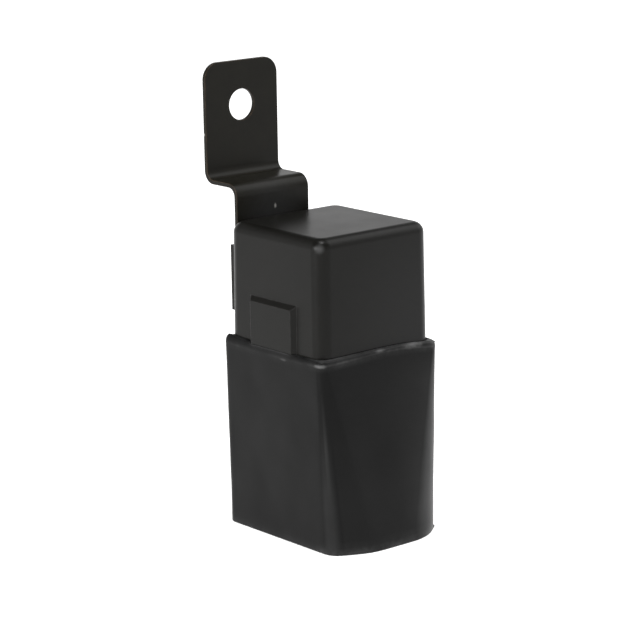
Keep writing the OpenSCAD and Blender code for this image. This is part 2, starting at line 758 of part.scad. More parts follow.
// Tension spring from the lug to the armature's tail, with a straight hook at each end
module return_spring() color(spring_steel) {
    r = spring_wire_d/2;
    neck = 3*spring_wire_d;
    under_lug = lug_z - r - seat_gap;
    over_tail = rest_z(spring_y + r, armature_t) + r + seat_gap;
    coil_low = lug_z + lug_t + 2*neck;
    coil_high = rest_z(spring_y, 0) - 2*neck;
    turns = spring_turns*turn_steps;
    path = concat(
        [[0, -spring_d/2, under_lug], [0, -r, under_lug], [0, 0, under_lug + r], [0, 0, coil_low - neck]],
        [for (i = [0:turns]) let (a = 360*i/turn_steps)
            [spring_d/2*cos(a), spring_d/2*sin(a), coil_low + (coil_high - coil_low)*i/turns]],
        [[0, 0, coil_high + neck], [0, 0, over_tail - r], [0, r, over_tail], [0, spring_d/2, over_tail]]);
    translate([0, spring_y, 0]) swept_tube(path, spring_wire_d, wire_sides, [1, 0, 0]);
}

// Flexible braid from the yoke's back, over the hinge, to the leaf
module braid() color(copper) {
    r = braid_d/2 + seat_gap;
    x = -tail_half_w - braid_d*1.3;
    back = hinge_y + r;
    on_leaf = armature_t + leaf_t + r;
    low = pole_top - braid_drop;
    bow = braid_d*3/4;
    front = rivet_y + rivet_d;
    weld = front + braid_d*3/2;
    landing = front + braid_d*7/2;
    path = smooth_path([
        [x, back, low],
        [x, back, low + braid_drop*2/7],
        [x, back + bow, low + braid_drop*5/7],
        [x, back + bow, pole_top + braid_d],
        [x, hinge_y - bow*2, pole_top + braid_d*3],
        [x, landing, rest_z(landing, on_leaf + braid_d/8)],
        [x, weld, rest_z(weld, on_leaf)],
        [x, front, rest_z(front, on_leaf)]], braid_steps);
    swept_tube(path, braid_d, braid_sides, [1, 0, 0]);
}

// Suppression resistor across the coil, in front of the winding
resistor_y = (coil_y - winding_d/2 - work_pitch + blade_t/2)/2;

module resistor() color(lacquer) translate([0, resistor_y, wire_z]) rotate([0, 90, 0]) {
    translate([0, 0, -resistor_l/2]) cylinder(d = resistor_d, h = resistor_l/4);
    translate([0, 0, -resistor_l/4]) cylinder(d = resistor_waist_d, h = resistor_l/2);
    translate([0, 0, resistor_l/4]) cylinder(d = resistor_d, h = resistor_l/4);
}

module resistor_leads() color(spring_steel) for (s = [-1, 1]) {
    elbow = [s*coil_pitch, resistor_y, wire_z];
    rod([s*resistor_l/2, resistor_y, wire_z], elbow, lead_d);
    rod(elbow, [elbow.x, -blade_w/2 - seat_gap, elbow.z], lead_d);
    translate(elbow) sphere(d = lead_d);
}

boot();
cover();
bracket();
base();
base_seal();
blade_30();
blade_85();
blade_86();
blade_87();
blade_87a();
yoke();
core();
bobbin();
coil_winding();
coil_leads();
armature();
contact_leaf();
leaf_rivets();
moving_contact();
lower_contact();
upper_contact();
return_spring();
braid();
resistor();
resistor_leads();
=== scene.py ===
# %% [markdown]
# # A relay in a rubber boot, on a folded steel bracket
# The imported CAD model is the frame: every piece made here sits where the frame says, in metres.
# Each step below first says what the piece or the finish is on a real relay, how it could be
# made, and why it is made this way.

# %% Load the frame
import json
import math
import bmesh
import bpy
from mathutils import Matrix, Vector
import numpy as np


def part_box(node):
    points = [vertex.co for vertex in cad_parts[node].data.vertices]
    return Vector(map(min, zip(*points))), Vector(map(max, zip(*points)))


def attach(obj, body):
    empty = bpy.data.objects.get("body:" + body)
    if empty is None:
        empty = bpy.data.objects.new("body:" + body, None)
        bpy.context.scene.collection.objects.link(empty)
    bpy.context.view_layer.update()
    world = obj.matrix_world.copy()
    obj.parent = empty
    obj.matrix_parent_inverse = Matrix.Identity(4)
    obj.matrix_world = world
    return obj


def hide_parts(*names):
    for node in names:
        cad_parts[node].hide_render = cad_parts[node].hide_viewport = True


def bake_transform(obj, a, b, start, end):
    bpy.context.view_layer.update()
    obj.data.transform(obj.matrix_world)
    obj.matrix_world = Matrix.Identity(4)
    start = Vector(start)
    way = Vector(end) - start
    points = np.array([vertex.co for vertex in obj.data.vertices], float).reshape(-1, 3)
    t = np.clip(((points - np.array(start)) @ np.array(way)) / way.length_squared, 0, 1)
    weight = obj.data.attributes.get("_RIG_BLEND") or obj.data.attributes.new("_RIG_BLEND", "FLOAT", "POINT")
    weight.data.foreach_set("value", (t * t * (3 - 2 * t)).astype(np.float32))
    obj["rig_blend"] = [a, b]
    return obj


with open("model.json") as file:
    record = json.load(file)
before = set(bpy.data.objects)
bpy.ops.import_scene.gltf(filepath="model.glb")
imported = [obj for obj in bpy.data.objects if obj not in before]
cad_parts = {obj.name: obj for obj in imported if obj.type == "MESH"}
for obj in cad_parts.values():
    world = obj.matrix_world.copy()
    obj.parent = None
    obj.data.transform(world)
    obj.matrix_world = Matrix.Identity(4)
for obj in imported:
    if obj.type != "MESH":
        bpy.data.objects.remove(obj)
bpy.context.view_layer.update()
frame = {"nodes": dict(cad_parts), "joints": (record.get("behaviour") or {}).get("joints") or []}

scene = bpy.context.scene
MM = 0.001

# %% [markdown]
# ## Camera
# A product shot is taken with a long lens from a little above, so upright edges stay nearly
# upright. The camera could be aimed by a constraint, but a rotation written from its three own
# directions also holds the small roll of a hand-set tripod.

# %% Camera
AZIMUTH, ELEVATION, ROLL = (math.radians(a) for a in (-39.835, 13.272, -0.938))
CAMERA_DISTANCE = 499.63 * MM
LENS_MM = 144.366
AIM_HEIGHT, AIM_RIGHT, AIM_UP = 40.0 * MM, -1.911 * MM, 0.958 * MM

toward_camera = Vector((math.sin(AZIMUTH) * math.cos(ELEVATION),
                        -math.cos(AZIMUTH) * math.cos(ELEVATION), math.sin(ELEVATION)))
level_right = Vector((math.cos(AZIMUTH), math.sin(AZIMUTH), 0.0))
level_up = toward_camera.cross(level_right)
right = math.cos(ROLL) * level_right + math.sin(ROLL) * level_up
up = math.cos(ROLL) * level_up - math.sin(ROLL) * level_right
aim = Vector((0.0, 0.0, AIM_HEIGHT)) + AIM_RIGHT * right + AIM_UP * up

camera = bpy.data.objects.new("Camera", bpy.data.cameras.new("Camera"))
scene.collection.objects.link(camera)
camera.matrix_world = Matrix.Translation(aim + CAMERA_DISTANCE * toward_camera) @ Matrix(
    (right, up, toward_camera)).transposed().to_4x4()
camera.data.lens = LENS_MM
camera.data.sensor_width = 36.0
camera.data.clip_start = 0.01
scene.camera = camera
scene.view_settings.view_transform = "Standard"
print("camera at", [round(c, 3) for c in camera.location])

# %% [markdown]
# ## Small helpers for node trees
# Shaders and geometry trees are both built from nodes, so one helper adds a node, sets it up and
# wires it. A socket is named by its label, or by its number where two labels are the same.

# %% Node helpers
def put(tree, kind, sockets=None, **settings):
    """Adds a node. A socket given another node's output is linked, any other value is set."""
    added = tree.nodes.new(kind)
    for key, value in settings.items():
        setattr(added, key, value)
    for key, value in (sockets or {}).items():
        if isinstance(value, bpy.types.NodeSocket):
            tree.links.new(value, added.inputs[key])
        else:
            added.inputs[key].default_value = value
    return added


def math_of(tree, operation, *values, clamp=False):
    """One Math node, and its output."""
    return put(tree, "ShaderNodeMath", dict(enumerate(values)), operation=operation,
               use_clamp=clamp).outputs[0]


def times(tree, first, second, clamp=False):
    return math_of(tree, "MULTIPLY", first, second, clamp=clamp)


def plus(tree, first, second):
    return math_of(tree, "ADD", first, second)


def vector_of(tree, operation, *values):
    """One Vector Math node. A scale goes to its own socket."""
    sockets = dict(enumerate(values))
    if operation == "SCALE":
        sockets = {0: values[0], "Scale": values[1]}
    return put(tree, "ShaderNodeVectorMath", sockets, operation=operation).outputs[0]


def noise_of(tree, place, scale, detail, roughness=0.5):
    """Smooth noise round 0.5."""
    return put(tree, "ShaderNodeTexNoise", {"Vector": place, "Scale": scale, "Detail": detail,
            "Roughness": roughness}).outputs["Fac"]


def mapped(tree, value, start=0.0, stop=1.0, low=0.0, high=1.0, **settings):
    """Maps start to low and stop to high, and holds the ends."""
    return put(tree, "ShaderNodeMapRange", {"Value": value, "From Min": start, "From Max": stop,
            "To Min": low, "To Max": high}, **settings).outputs[0]


def colour_mix(tree, factor, first, second):
    """Mixes two colours by a factor."""
    mixer = put(tree, "ShaderNodeMix", {0: factor, 6: first, 7: second}, data_type="RGBA")
    return mixer.outputs[2]


def rgba(colour):
    return (*colour, 1.0)


WHITE = rgba((1.0, 1.0, 1.0))

# %% [markdown]
# ## Studio
# The relay stands on a white sweep under soft boxes. The world could be an image of a studio;
# here it is a white backdrop under a darker ceiling that the camera and the reflections see, with
# a calmer level for the light that falls on the part, so that colours come out as written.

# %% World
WORLD_LIGHT = 0.42
CEILING, CEILING_FROM, CEILING_FULL = 0.17, 0.30, 0.62      # its grey, and where on the sky it is
world = bpy.data.worlds.new("Studio")
scene.world = world
world.use_nodes = True
tree = world.node_tree
tree.nodes.clear()


def seen_directly(tree):
    """1 for the camera's rays and for reflections and refractions, 0 for diffuse light."""
    path = put(tree, "ShaderNodeLightPath")
    either = math_of(tree, "MAXIMUM", path.outputs["Is Camera Ray"], path.outputs["Is Glossy Ray"])
    return math_of(tree, "MAXIMUM", either, path.outputs["Is Transmission Ray"])


light_level = put(tree, "ShaderNodeBackground", {"Color": WHITE, "Strength": WORLD_LIGHT})
sky = put(tree, "ShaderNodeTexCoord").outputs["Generated"]
skyward = put(tree, "ShaderNodeSeparateXYZ", {0: sky}).outputs["Z"]
ceiling = mapped(tree, skyward, CEILING_FROM, CEILING_FULL)
backdrop = colour_mix(tree, ceiling, WHITE, rgba((CEILING, CEILING, CEILING)))
white_level = put(tree, "ShaderNodeBackground", {"Color": backdrop, "Strength": 1.0})
chosen = put(tree, "ShaderNodeMixShader", {0: seen_directly(tree), 1: light_level.outputs[0],
    2: white_level.outputs[0]})
put(tree, "ShaderNodeOutputWorld", {"Surface": chosen.outputs[0]})
print("world light:", WORLD_LIGHT)

# %% Lamps
LAMP_TARGET = Vector((0.0, 0.0, 0.045))                     # the middle of the relay


def soft_box(name, place, size, power):
    """A square area lamp at a place, facing the relay."""
    lamp = bpy.data.lights.new(name, "AREA")
    lamp.shape = "SQUARE"
    lamp.size = size
    lamp.energy = power
    box = bpy.data.objects.new(name, lamp)
    scene.collection.objects.link(box)
    box.location = place
    box.rotation_euler = (Vector(place) - LAMP_TARGET).to_track_quat("Z", "Y").to_euler()
    print(name, "at", place, "size", size, "power", power)


soft_box("Side soft box", (-0.95, 0.00, 0.28), size=0.35, power=5.6)
soft_box("Top soft box", (-0.12, -0.17, 0.95), size=0.30, power=5.0)
soft_box("Fill soft box", (0.80, -0.30, 0.80), size=0.80, power=5.0)

# %% Floor
floor_mesh = bpy.data.meshes.new("Floor")
FLOOR_HALF = 3.0
PAPER_GRAIN, PAPER_GLOW = 900.0, 0.58
floor_mesh.from_pydata([(x * FLOOR_HALF, y * FLOOR_HALF, 0)
                        for x, y in ((-1, -1), (1, -1), (1, 1), (-1, 1))], [], [(0, 1, 2, 3)])
floor = bpy.data.objects.new("Floor", floor_mesh)
scene.collection.objects.link(floor)

sweep = bpy.data.materials.new("White sweep")
sweep.use_nodes = True
tree = sweep.node_tree
tree.nodes.clear()
paper = noise_of(tree, put(tree, "ShaderNodeTexCoord").outputs["Object"], PAPER_GRAIN, 3.0)
tone = colour_mix(tree, paper, rgba((0.80, 0.80, 0.80)), rgba((0.84, 0.84, 0.84)))
lit = put(tree, "ShaderNodeBsdfDiffuse", {"Color": tone})
glow_level = times(tree, seen_directly(tree), PAPER_GLOW)
glow = put(tree, "ShaderNodeEmission", {"Color": WHITE, "Strength": glow_level})
both = put(tree, "ShaderNodeAddShader", {0: lit.outputs[0], 1: glow.outputs[0]})
put(tree, "ShaderNodeOutputMaterial", {"Surface": both.outputs[0]})
floor_mesh.materials.append(sweep)
print("floor:", 2 * FLOOR_HALF, "m across")

# %% [markdown]
# ## Shared surface effects
# Moulded and painted surfaces are never one flat tone. Four effects come back in many
# materials: fine grain, mottled tone, rubbed edges and a placed mark. They could be
# built anew in each material, but as shader groups they are built once and given values.

# %% Group: fine grain
def group_tree(name, sockets_in, sockets_out):
    """A shader group with named sockets. Each socket is (name, kind, value)."""
    group = bpy.data.node_groups.new(name, "ShaderNodeTree")
    for label, kind, value in sockets_in:
        socket = group.interface.new_socket(label, in_out="INPUT", socket_type="NodeSocket" + kind)
        if value is not None:
            socket.default_value = value
    for label, kind in sockets_out:
        group.interface.new_socket(label, in_out="OUTPUT", socket_type="NodeSocket" + kind)
    return group, put(group, "NodeGroupInput").outputs, put(group, "NodeGroupOutput")


def object_position(tree):
    return put(tree, "ShaderNodeTexCoord").outputs["Object"]


grain_group, given, result = group_tree(
    "Fine grain", [("Grains per metre", "Float", 2500.0), ("Depth", "Float", 0.02),
                   ("Waves per metre", "Float", 90.0), ("Wave depth", "Float", 0.3)],
    [("Grain", "Float"), ("Normal", "Vector")])
place = object_position(grain_group)
fine = noise_of(grain_group, place, given["Grains per metre"], 4.0, 0.6)
broad = noise_of(grain_group, place, given["Waves per metre"], 1.0)
normal = None
for height, depth in ((broad, given["Wave depth"]), (fine, given["Depth"])):
    sockets = {"Height": times(grain_group, height, depth), "Distance": MM, "Strength": 1.0}
    if normal is not None:
        sockets["Normal"] = normal
    normal = put(grain_group, "ShaderNodeBump", sockets).outputs["Normal"]
grain_group.links.new(fine, result.inputs["Grain"])
grain_group.links.new(normal, result.inputs["Normal"])

# %% Group: mottled tone
mottle_group, given, result = group_tree(
    "Mottled tone", [("Colour", "Color", rgba((0.1, 0.1, 0.1))),
                     ("Second colour", "Color", rgba((0.12, 0.12, 0.12))),
                     ("Patches per metre", "Float", 120.0), ("Softness", "Float", 0.25)],
    [("Colour", "Color"), ("Patch", "Float")])
cloud = noise_of(mottle_group, object_position(mottle_group), given["Patches per metre"], 5.0, 0.55)
patch = mapped(mottle_group, cloud, math_of(mottle_group, "SUBTRACT", 0.5, given["Softness"]),
               plus(mottle_group, 0.5, given["Softness"]))
mottle_group.links.new(patch, result.inputs["Patch"])
mottle_group.links.new(colour_mix(mottle_group, patch, given["Colour"], given["Second colour"]),
                       result.inputs["Colour"])

# %% Group: rubbed edges, which on the boot's rim also carry painted highlight
rub_and_shine_group, given, result = group_tree(
    "Rubbed edges", [("Colour", "Color", rgba((0.1, 0.1, 0.1))),
                     ("Rubbed colour", "Color", rgba((0.3, 0.3, 0.3))),
                     ("Amount", "Float", 0.4), ("Marks per metre", "Float", 600.0)],
    [("Colour", "Color"), ("Rub", "Float")])
edge = put(rub_and_shine_group, "ShaderNodeAttribute", attribute_name="edge").outputs["Fac"]
RUB_FROM, RUB_FULL = 0.35, 0.75                             # the noise's part that is rubbed
marks = noise_of(rub_and_shine_group, object_position(rub_and_shine_group), given["Marks per metre"], 6.0, 0.7)
broken = mapped(rub_and_shine_group, marks, RUB_FROM, RUB_FULL)
rub = times(rub_and_shine_group, times(rub_and_shine_group, edge, broken), given["Amount"], clamp=True)
rub_and_shine_group.links.new(rub, result.inputs["Rub"])
rub_and_shine_group.links.new(colour_mix(rub_and_shine_group, rub, given["Colour"], given["Rubbed colour"]),
                    result.inputs["Colour"])

# %% Group: placed mark
mark_group, given, result = group_tree(
    "Placed mark", [("Centre", "Vector", None), ("Squeeze", "Vector", None),
                    ("Reach", "Float", 0.01), ("Ragged", "Float", 0.3),
                    ("Shreds per metre", "Float", 900.0)],
    [("Mark", "Float")])
place = object_position(mark_group)
offset = vector_of(mark_group, "SUBTRACT", place, given["Centre"])
squeezed = vector_of(mark_group, "MULTIPLY", offset, given["Squeeze"])
away = put(mark_group, "ShaderNodeVectorMath", {0: squeezed}, operation="LENGTH").outputs["Value"]
shreds = noise_of(mark_group, place, given["Shreds per metre"], 3.0)
torn = times(mark_group, math_of(mark_group, "SUBTRACT", shreds, 0.5), given["Ragged"])
share = plus(mark_group, math_of(mark_group, "DIVIDE", away, given["Reach"]), torn)
mark = mapped(mark_group, share, start=1.0, stop=0.0, interpolation_type="SMOOTHSTEP")
mark_group.links.new(mark, result.inputs["Mark"])
print("effects:", [g.name for g in (grain_group, mottle_group, rub_and_shine_group, mark_group)])

# %% [markdown]
# ## Finishes
# Every finish is a Principled shader fed by grain, mottle and rub, and some carry placed
# marks. What is the same all over a surface, such as its specular level, is set on the
# shader's own socket.

# %% Finish builder
def use_group(tree, group, sockets):
    return put(tree, "ShaderNodeGroup", sockets, node_tree=group).outputs


def finish(name, colour, second, rubbed, rough, specular=0.5, metal=0.0, patches=120.0,
           softness=0.25, rub_amount=0.3, marks=600.0, grains=2500.0, grain_depth=0.02,
           waves=90.0, wave_depth=0.3, rough_spread=0.06):
    """A mottled, grained surface with rubbed edges. rough is its middle roughness."""
    material = bpy.data.materials.new(name)
    material.use_nodes = True
    tree = material.node_tree
    shader = tree.nodes["Principled BSDF"]
    mottle = use_group(tree, mottle_group, {"Colour": rgba(colour), "Second colour": rgba(second),
        "Patches per metre": patches, "Softness": softness})
    wear = use_group(tree, rub_and_shine_group, {"Colour": mottle["Colour"], "Rubbed colour": rgba(rubbed),
        "Amount": rub_amount, "Marks per metre": marks})
    grain = use_group(tree, grain_group, {"Grains per metre": grains, "Depth": grain_depth,
        "Waves per metre": waves, "Wave depth": wave_depth})
    roughness = mapped(tree, mottle["Patch"], low=rough - rough_spread, high=rough + rough_spread)
    tree.links.new(wear["Colour"], shader.inputs["Base Color"])
    tree.links.new(roughness, shader.inputs["Roughness"])
    tree.links.new(grain["Normal"], shader.inputs["Normal"])
    shader.inputs["Specular IOR Level"].default_value = specular
    shader.inputs["Metallic"].default_value = metal
    print("finish:", name)
    return material


def add_mark(material, centre_mm, reach_mm, colour, strength=1.0, ragged=0.3, shreds=900.0,
             squeeze=(1.0, 1.0, 1.0)):
    """Lays a patch of another colour round a point over what the base colour is so far."""
    tree = material.node_tree
    shader = tree.nodes["Principled BSDF"]
    before = shader.inputs["Base Color"].links[0].from_socket
    mark = use_group(tree, mark_group, {
        "Centre": [c * MM for c in centre_mm], "Squeeze": squeeze, "Reach": reach_mm * MM,
        "Ragged": ragged, "Shreds per metre": shreds})["Mark"]
    share = times(tree, mark, strength)
    tree.links.new(colour_mix(tree, share, before, rgba(colour)), shader.inputs["Base Color"])


def dark(level, tint=(1.0, 1.0, 1.0)):
    return tuple(level * t for t in tint)

# %% Rubber
# The grey of the rubber's painted sheen
PAINTED_SHEEN_GREY = 0.050
rubber = finish("Moulded rubber", dark(0.0032), dark(0.0050), dark(0.085), rough=0.38,
                specular=0.108, patches=70.0, rub_amount=0.9, marks=140.0,
                grains=3500.0, grain_depth=0.012, waves=60.0, wave_depth=0.35, rough_spread=0.05)

# Painted sheen: where the loft marks it, a lighter grey is laid into the rubber's colour, standing in for
# light shining off the boot's rounded corners and its sweep
tree = rubber.node_tree
shader = tree.nodes["Principled BSDF"]
colour_so_far = shader.inputs["Base Color"].links[0].from_socket
raised = put(tree, "ShaderNodeAttribute", attribute_name="bloom").outputs["Fac"]
cloudy = use_group(tree, mottle_group, {"Patches per metre": 160.0, "Softness": 0.45})["Patch"]
painted_sheen_amount = times(tree, raised, mapped(tree, cloudy, low=0.6))
tree.links.new(colour_mix(tree, painted_sheen_amount, colour_so_far, rgba(dark(PAINTED_SHEEN_GREY))), shader.inputs["Base Color"])

# %% Nylon and black paint
WARM, BROWN = (1.05, 1.0, 0.85), (1.12, 1.02, 0.7)
nylon = finish("Moulded nylon", dark(0.0040, WARM), dark(0.0065, WARM), dark(0.06), rough=0.33,
               specular=0.138, patches=90.0, rub_amount=0.35, grains=5000.0, grain_depth=0.008,
               waves=50.0, wave_depth=0.10, rough_spread=0.04)
black_paint = finish("Black dip paint", dark(0.0060, BROWN), dark(0.0090, BROWN),
                     (0.10, 0.068, 0.045), rough=0.32, specular=0.12, patches=260.0, rub_amount=0.6,
                     grains=2200.0, grain_depth=0.010, waves=120.0, wave_depth=0.05,
                     rough_spread=0.03)

# %% Marks on the painted steel and the plastics
# Paint chips show bare steel. Where the strip runs down behind the cover its paint is made lighter, a
# painted reflection of the cover's top
STEEL = (0.42, 0.41, 0.39)
add_mark(black_paint, (-2.0, 14.3, 59.5), 11.0, dark(0.026), strength=0.9, ragged=0.2)
add_mark(black_paint, (-1.5, 14.3, 61.95), 0.5, STEEL, ragged=1.0, shreds=1500.0,
         squeeze=(1.2, 1.0, 0.75), strength=0.8)
add_mark(black_paint, (-11.05, 24.2, 75.9), 0.45, STEEL, ragged=0.8, shreds=2500.0)
# Painted sheen: the cover's front is made lighter toward the right, where light shines off it
add_mark(nylon, (15.0, -14.0, 43.0), 30.0, dark(0.013), strength=0.9, ragged=0.15, shreds=90.0)
# Painted highlight: a bright soft spot on the cover's rounded front left top corner
add_mark(nylon, (-13.35, -13.1, 58.9), 1.4, dark(0.085), strength=0.85, ragged=0.15, shreds=600.0)
# Painted glints along the boot's rim: pale spots laid into the colour where light shines off its rounded lip
for spot, reach, strength, squeeze in (
        ((-14.6, -14.3, 36.75), 1.3, 1.0, (0.8, 0.7, 2.6)),
        ((-14.9, -3.8, 36.3), 0.9, 0.35, (1.0, 0.6, 2.6)),
        ((-0.2, -14.9, 37.5), 1.1, 0.55, (0.6, 1.0, 2.6)),
        ((8.5, -14.9, 37.3), 2.6, 0.65, (0.7, 1.0, 2.6)),
        ((14.2, -14.6, 36.8), 2.2, 0.5, (1.0, 1.0, 1.3))):
    add_mark(rubber, spot, reach, dark(0.13), strength, ragged=0.9, shreds=1000.0, squeeze=squeeze)

# %% Metals and inner plastics
base_plastic = finish("Base plastic", dark(0.022), dark(0.028), dark(0.05), rough=0.55,
                      specular=0.3, patches=200.0, grains=6000.0)
potting = finish("Potting resin", (0.012, 0.010, 0.008), (0.022, 0.018, 0.012), dark(0.04),
                 rough=0.35, specular=0.4, patches=300.0, waves=400.0, wave_depth=0.25)
bobbin_nylon = finish("Natural nylon", (0.66, 0.61, 0.48), (0.72, 0.68, 0.56), (0.80, 0.77, 0.68),
                      rough=0.5, specular=0.4, patches=250.0)
brass = finish("Stamped brass", (0.62, 0.44, 0.17), (0.70, 0.52, 0.24), (0.80, 0.66, 0.38),
               rough=0.30, metal=1.0, patches=350.0, rub_amount=0.6, grains=9000.0,
               grain_depth=0.004, wave_depth=0.05, rough_spread=0.09)
iron = finish("Zinc plated iron", (0.50, 0.50, 0.47), (0.62, 0.61, 0.57), (0.74, 0.74, 0.72),
              rough=0.36, metal=1.0, patches=400.0, rub_amount=0.5, grains=7000.0,
              grain_depth=0.006, wave_depth=0.05, rough_spread=0.1)
enamelled_copper = finish("Enamelled copper", (0.42, 0.13, 0.045), (0.56, 0.20, 0.07),
                          (0.70, 0.32, 0.16), rough=0.28, metal=1.0, patches=500.0,
                          grain_depth=0.003, wave_depth=0.02)
bronze = finish("Phosphor bronze", (0.60, 0.34, 0.15), (0.68, 0.42, 0.21), (0.80, 0.56, 0.34),
                rough=0.27, metal=1.0, patches=350.0, grain_depth=0.004, wave_depth=0.04)
silver = finish("Silver alloy", (0.72, 0.71, 0.67), (0.80, 0.79, 0.76), (0.90, 0.89, 0.87),
                rough=0.26, metal=1.0, patches=600.0, grain_depth=0.004, wave_depth=0.02)
spring_steel = finish("Spring steel", (0.52, 0.52, 0.52), (0.60, 0.60, 0.60), (0.76, 0.76, 0.76),
                      rough=0.24, metal=1.0, patches=500.0, grain_depth=0.003, wave_depth=0.0)

# %% [markdown]
# ## Softened copies of the rigid parts
# Nothing that is pressed, moulded or stamped has a perfectly sharp edge: a thin bright line
# along every edge is what makes a part look real. The CAD solids are sharp, so each rigid part
# gets a copy whose coplanar triangles are joined first and whose sharp edges are then rounded.
# A Bevel modifier could do this live, but mesh code also marks the new strips, so that the
# wear effect knows where the edges are.

# %% Softening helper
SHARP = math.radians(32.0)
FLAT = math.radians(0.4)
WELD = 2e-6


def clean_copy(node, weld=WELD):
    """The CAD node's mesh, its points merged and its flat triangles joined to faces."""
    work = bmesh.new()
    work.from_mesh(frame["nodes"][node].data)
    bmesh.ops.remove_doubles(work, verts=work.verts, dist=weld)
    bmesh.ops.dissolve_limit(work, angle_limit=FLAT, verts=work.verts, edges=work.edges,
        use_dissolve_boundaries=False)
    return work


def sharp_edges(work):
    return [e for e in work.edges if len(e.link_faces) == 2 and e.calc_face_angle() > SHARP]


def finished_piece(work, name, node, body, material):
    """Turns the bmesh into an object that replaces a CAD node and rides on its body."""
    mesh = bpy.data.meshes.new(name)
    for face in work.faces:
        face.smooth = True
    work.to_mesh(mesh)
    work.free()
    mesh.materials.append(material)
    piece = bpy.data.objects.new(name, mesh)
    scene.collection.objects.link(piece)
    return settle(piece, node, body)


def settle(piece, node, body):
    """The piece takes the node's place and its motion."""
    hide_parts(node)
    if body:
        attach(piece, body)
    print(piece.name, "-", len(piece.data.polygons), "faces, replaces", node)
    return piece


def soften(node, name, material, radius, body="case", segments=2, weld=WELD):
    """A copy of the node with every sharp edge rounded, and the rounded strips marked."""
    work = clean_copy(node, weld)
    edge_mark = work.faces.layers.float.new("edge")
    made = bmesh.ops.bevel(work, geom=sharp_edges(work), offset=radius, offset_type="OFFSET",
                           segments=segments, profile=0.5, affect="EDGES", clamp_overlap=True)
    for face in made["faces"]:
        face[edge_mark] = 1.0
    bmesh.ops.remove_doubles(work, verts=work.verts, dist=WELD / 4)
    bmesh.ops.recalc_face_normals(work, faces=work.faces)
    piece = finished_piece(work, name, node, body, material)
    weighted = piece.modifiers.new("Even shading", "WEIGHTED_NORMAL")
    weighted.weight = 60
    return piece

# %% Cover and bracket
soften("cover", "Cover", nylon, 0.16 * MM, segments=3, weld=0.03 * MM)
soften("bracket", "Bracket", black_paint, 0.14 * MM, segments=3)

# %% Base, potting and blades
soften("base", "Base_plate", base_plastic, 0.10 * MM)
soften("base_seal", "Potting", potting, 0.06 * MM)
for number in ("30", "85", "86", "87", "87a"):
    soften("blade_" + number, "Blade_" + number, brass, 0.07 * MM)

# %% Magnet and contacts
soften("yoke", "Yoke", iron, 0.10 * MM)
soften("core", "Core", iron, 0.12 * MM)
soften("bobbin", "Bobbin", bobbin_nylon, 0.10 * MM)
soften("armature", "Armature", iron, 0.10 * MM, body="armature")
soften("contact_leaf", "Contact_leaf", bronze, 0.04 * MM, body="armature")
soften("leaf_rivets", "Leaf_rivets", brass, 0.08 * MM, body="armature")
for place, body in (("moving", "armature"), ("lower", "case"), ("upper", "case")):
    soften(place + "_contact", place.capitalize() + "_contact", silver, 0.05 * MM, body=body)
soften("coil_leads", "Coil_leads", enamelled_copper, 0.03 * MM)
soften("resistor_leads", "Resistor_leads", spring_steel, 0.04 * MM)

# %% [markdown]
# ## Rubber boot
# The boot is a moulded sleeve: square at its upper rim, where it grips the cover, and bowed in
# front at its foot. It could be sculpted, or made from a few loops by hand. Its shape follows a
# rule, though: every level is a blend of a few outlines, so a Geometry Nodes loft makes it. One
# guide mesh holds the outlines, point by point, and a second one holds the cross-section: at
# each row, how much of each outline it takes, how far it is set in and how high it lies.

# %% Boot sizes
boot_low, boot_high = (Vector(c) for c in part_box("boot"))
BOOT_H = boot_high.z
RIM_HALF = boot_high.x
FOOT_HALF = RIM_HALF - 0.2 * MM
MOUTH_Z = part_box("cover")[0][2]
GRIP_WALL, SKIRT_WALL, FLANGE_T = 0.95 * MM, 1.35 * MM, 1.2 * MM
COVER_HALF, COVER_DRAFT, COVER_H = 14.1 * MM, 0.3 * MM, 35.1 * MM
WINDOW_HALF, WINDOW_R = 12.9 * MM, 1.6 * MM
LIP_DROP, LIP_LAND, BOOT_GAP = 1.2 * MM, 0.15 * MM, 0.02 * MM
print("boot:", [round(c / MM, 2) for c in boot_low], "to", [round(c / MM, 2) for c in boot_high])

# %% Outlines of the boot
TOUCH = 1e-7                                                # circles this near share a flat


def square_circles(half, corner):
    return [(sx * (half - corner), sy * (half - corner), corner)
            for sx, sy in ((-1, 1), (1, 1), (-1, -1), (1, -1))]


# Each corner of the foot is a circle, by its middle and its radius
HEEL_R, SHOULDER_R, BROW_R, SWEEP_R = 2.0 * MM, 4.2 * MM, 4.2 * MM, 12.0 * MM
shoulder = (-FOOT_HALF + SHOULDER_R, -FOOT_HALF + 0.29 * MM, SHOULDER_R)
brow = (-6.2 * MM, -FOOT_HALF - 1.7 * MM, BROW_R)
foot_circles = [(-FOOT_HALF + HEEL_R, FOOT_HALF - HEEL_R, HEEL_R),
                (FOOT_HALF - HEEL_R, FOOT_HALF - HEEL_R, HEEL_R), shoulder, brow,
                (FOOT_HALF - SWEEP_R, -FOOT_HALF + 6.1 * MM, SWEEP_R)]


def support(circles, angle, side):
    """The outline's point whose normal has this angle. On a flat, side picks its start or end."""
    direction = Vector((math.cos(angle), math.sin(angle)))
    along = Vector((-direction.y, direction.x))
    best = max(circles, key=lambda c: (
        round((c[0] * direction.x + c[1] * direction.y + c[2]) / TOUCH),
        side * (c[0] * along.x + c[1] * along.y)))
    return Vector((best[0], best[1])) + best[2] * direction


over, down = brow[0] - shoulder[0], brow[1] - shoulder[1]
brow_flat = math.degrees(math.atan2(down, over) - math.acos(
    (SHOULDER_R - BROW_R) / math.hypot(over, down))) % 360.0
print("front flat of the foot faces", round(brow_flat, 1), "degrees")

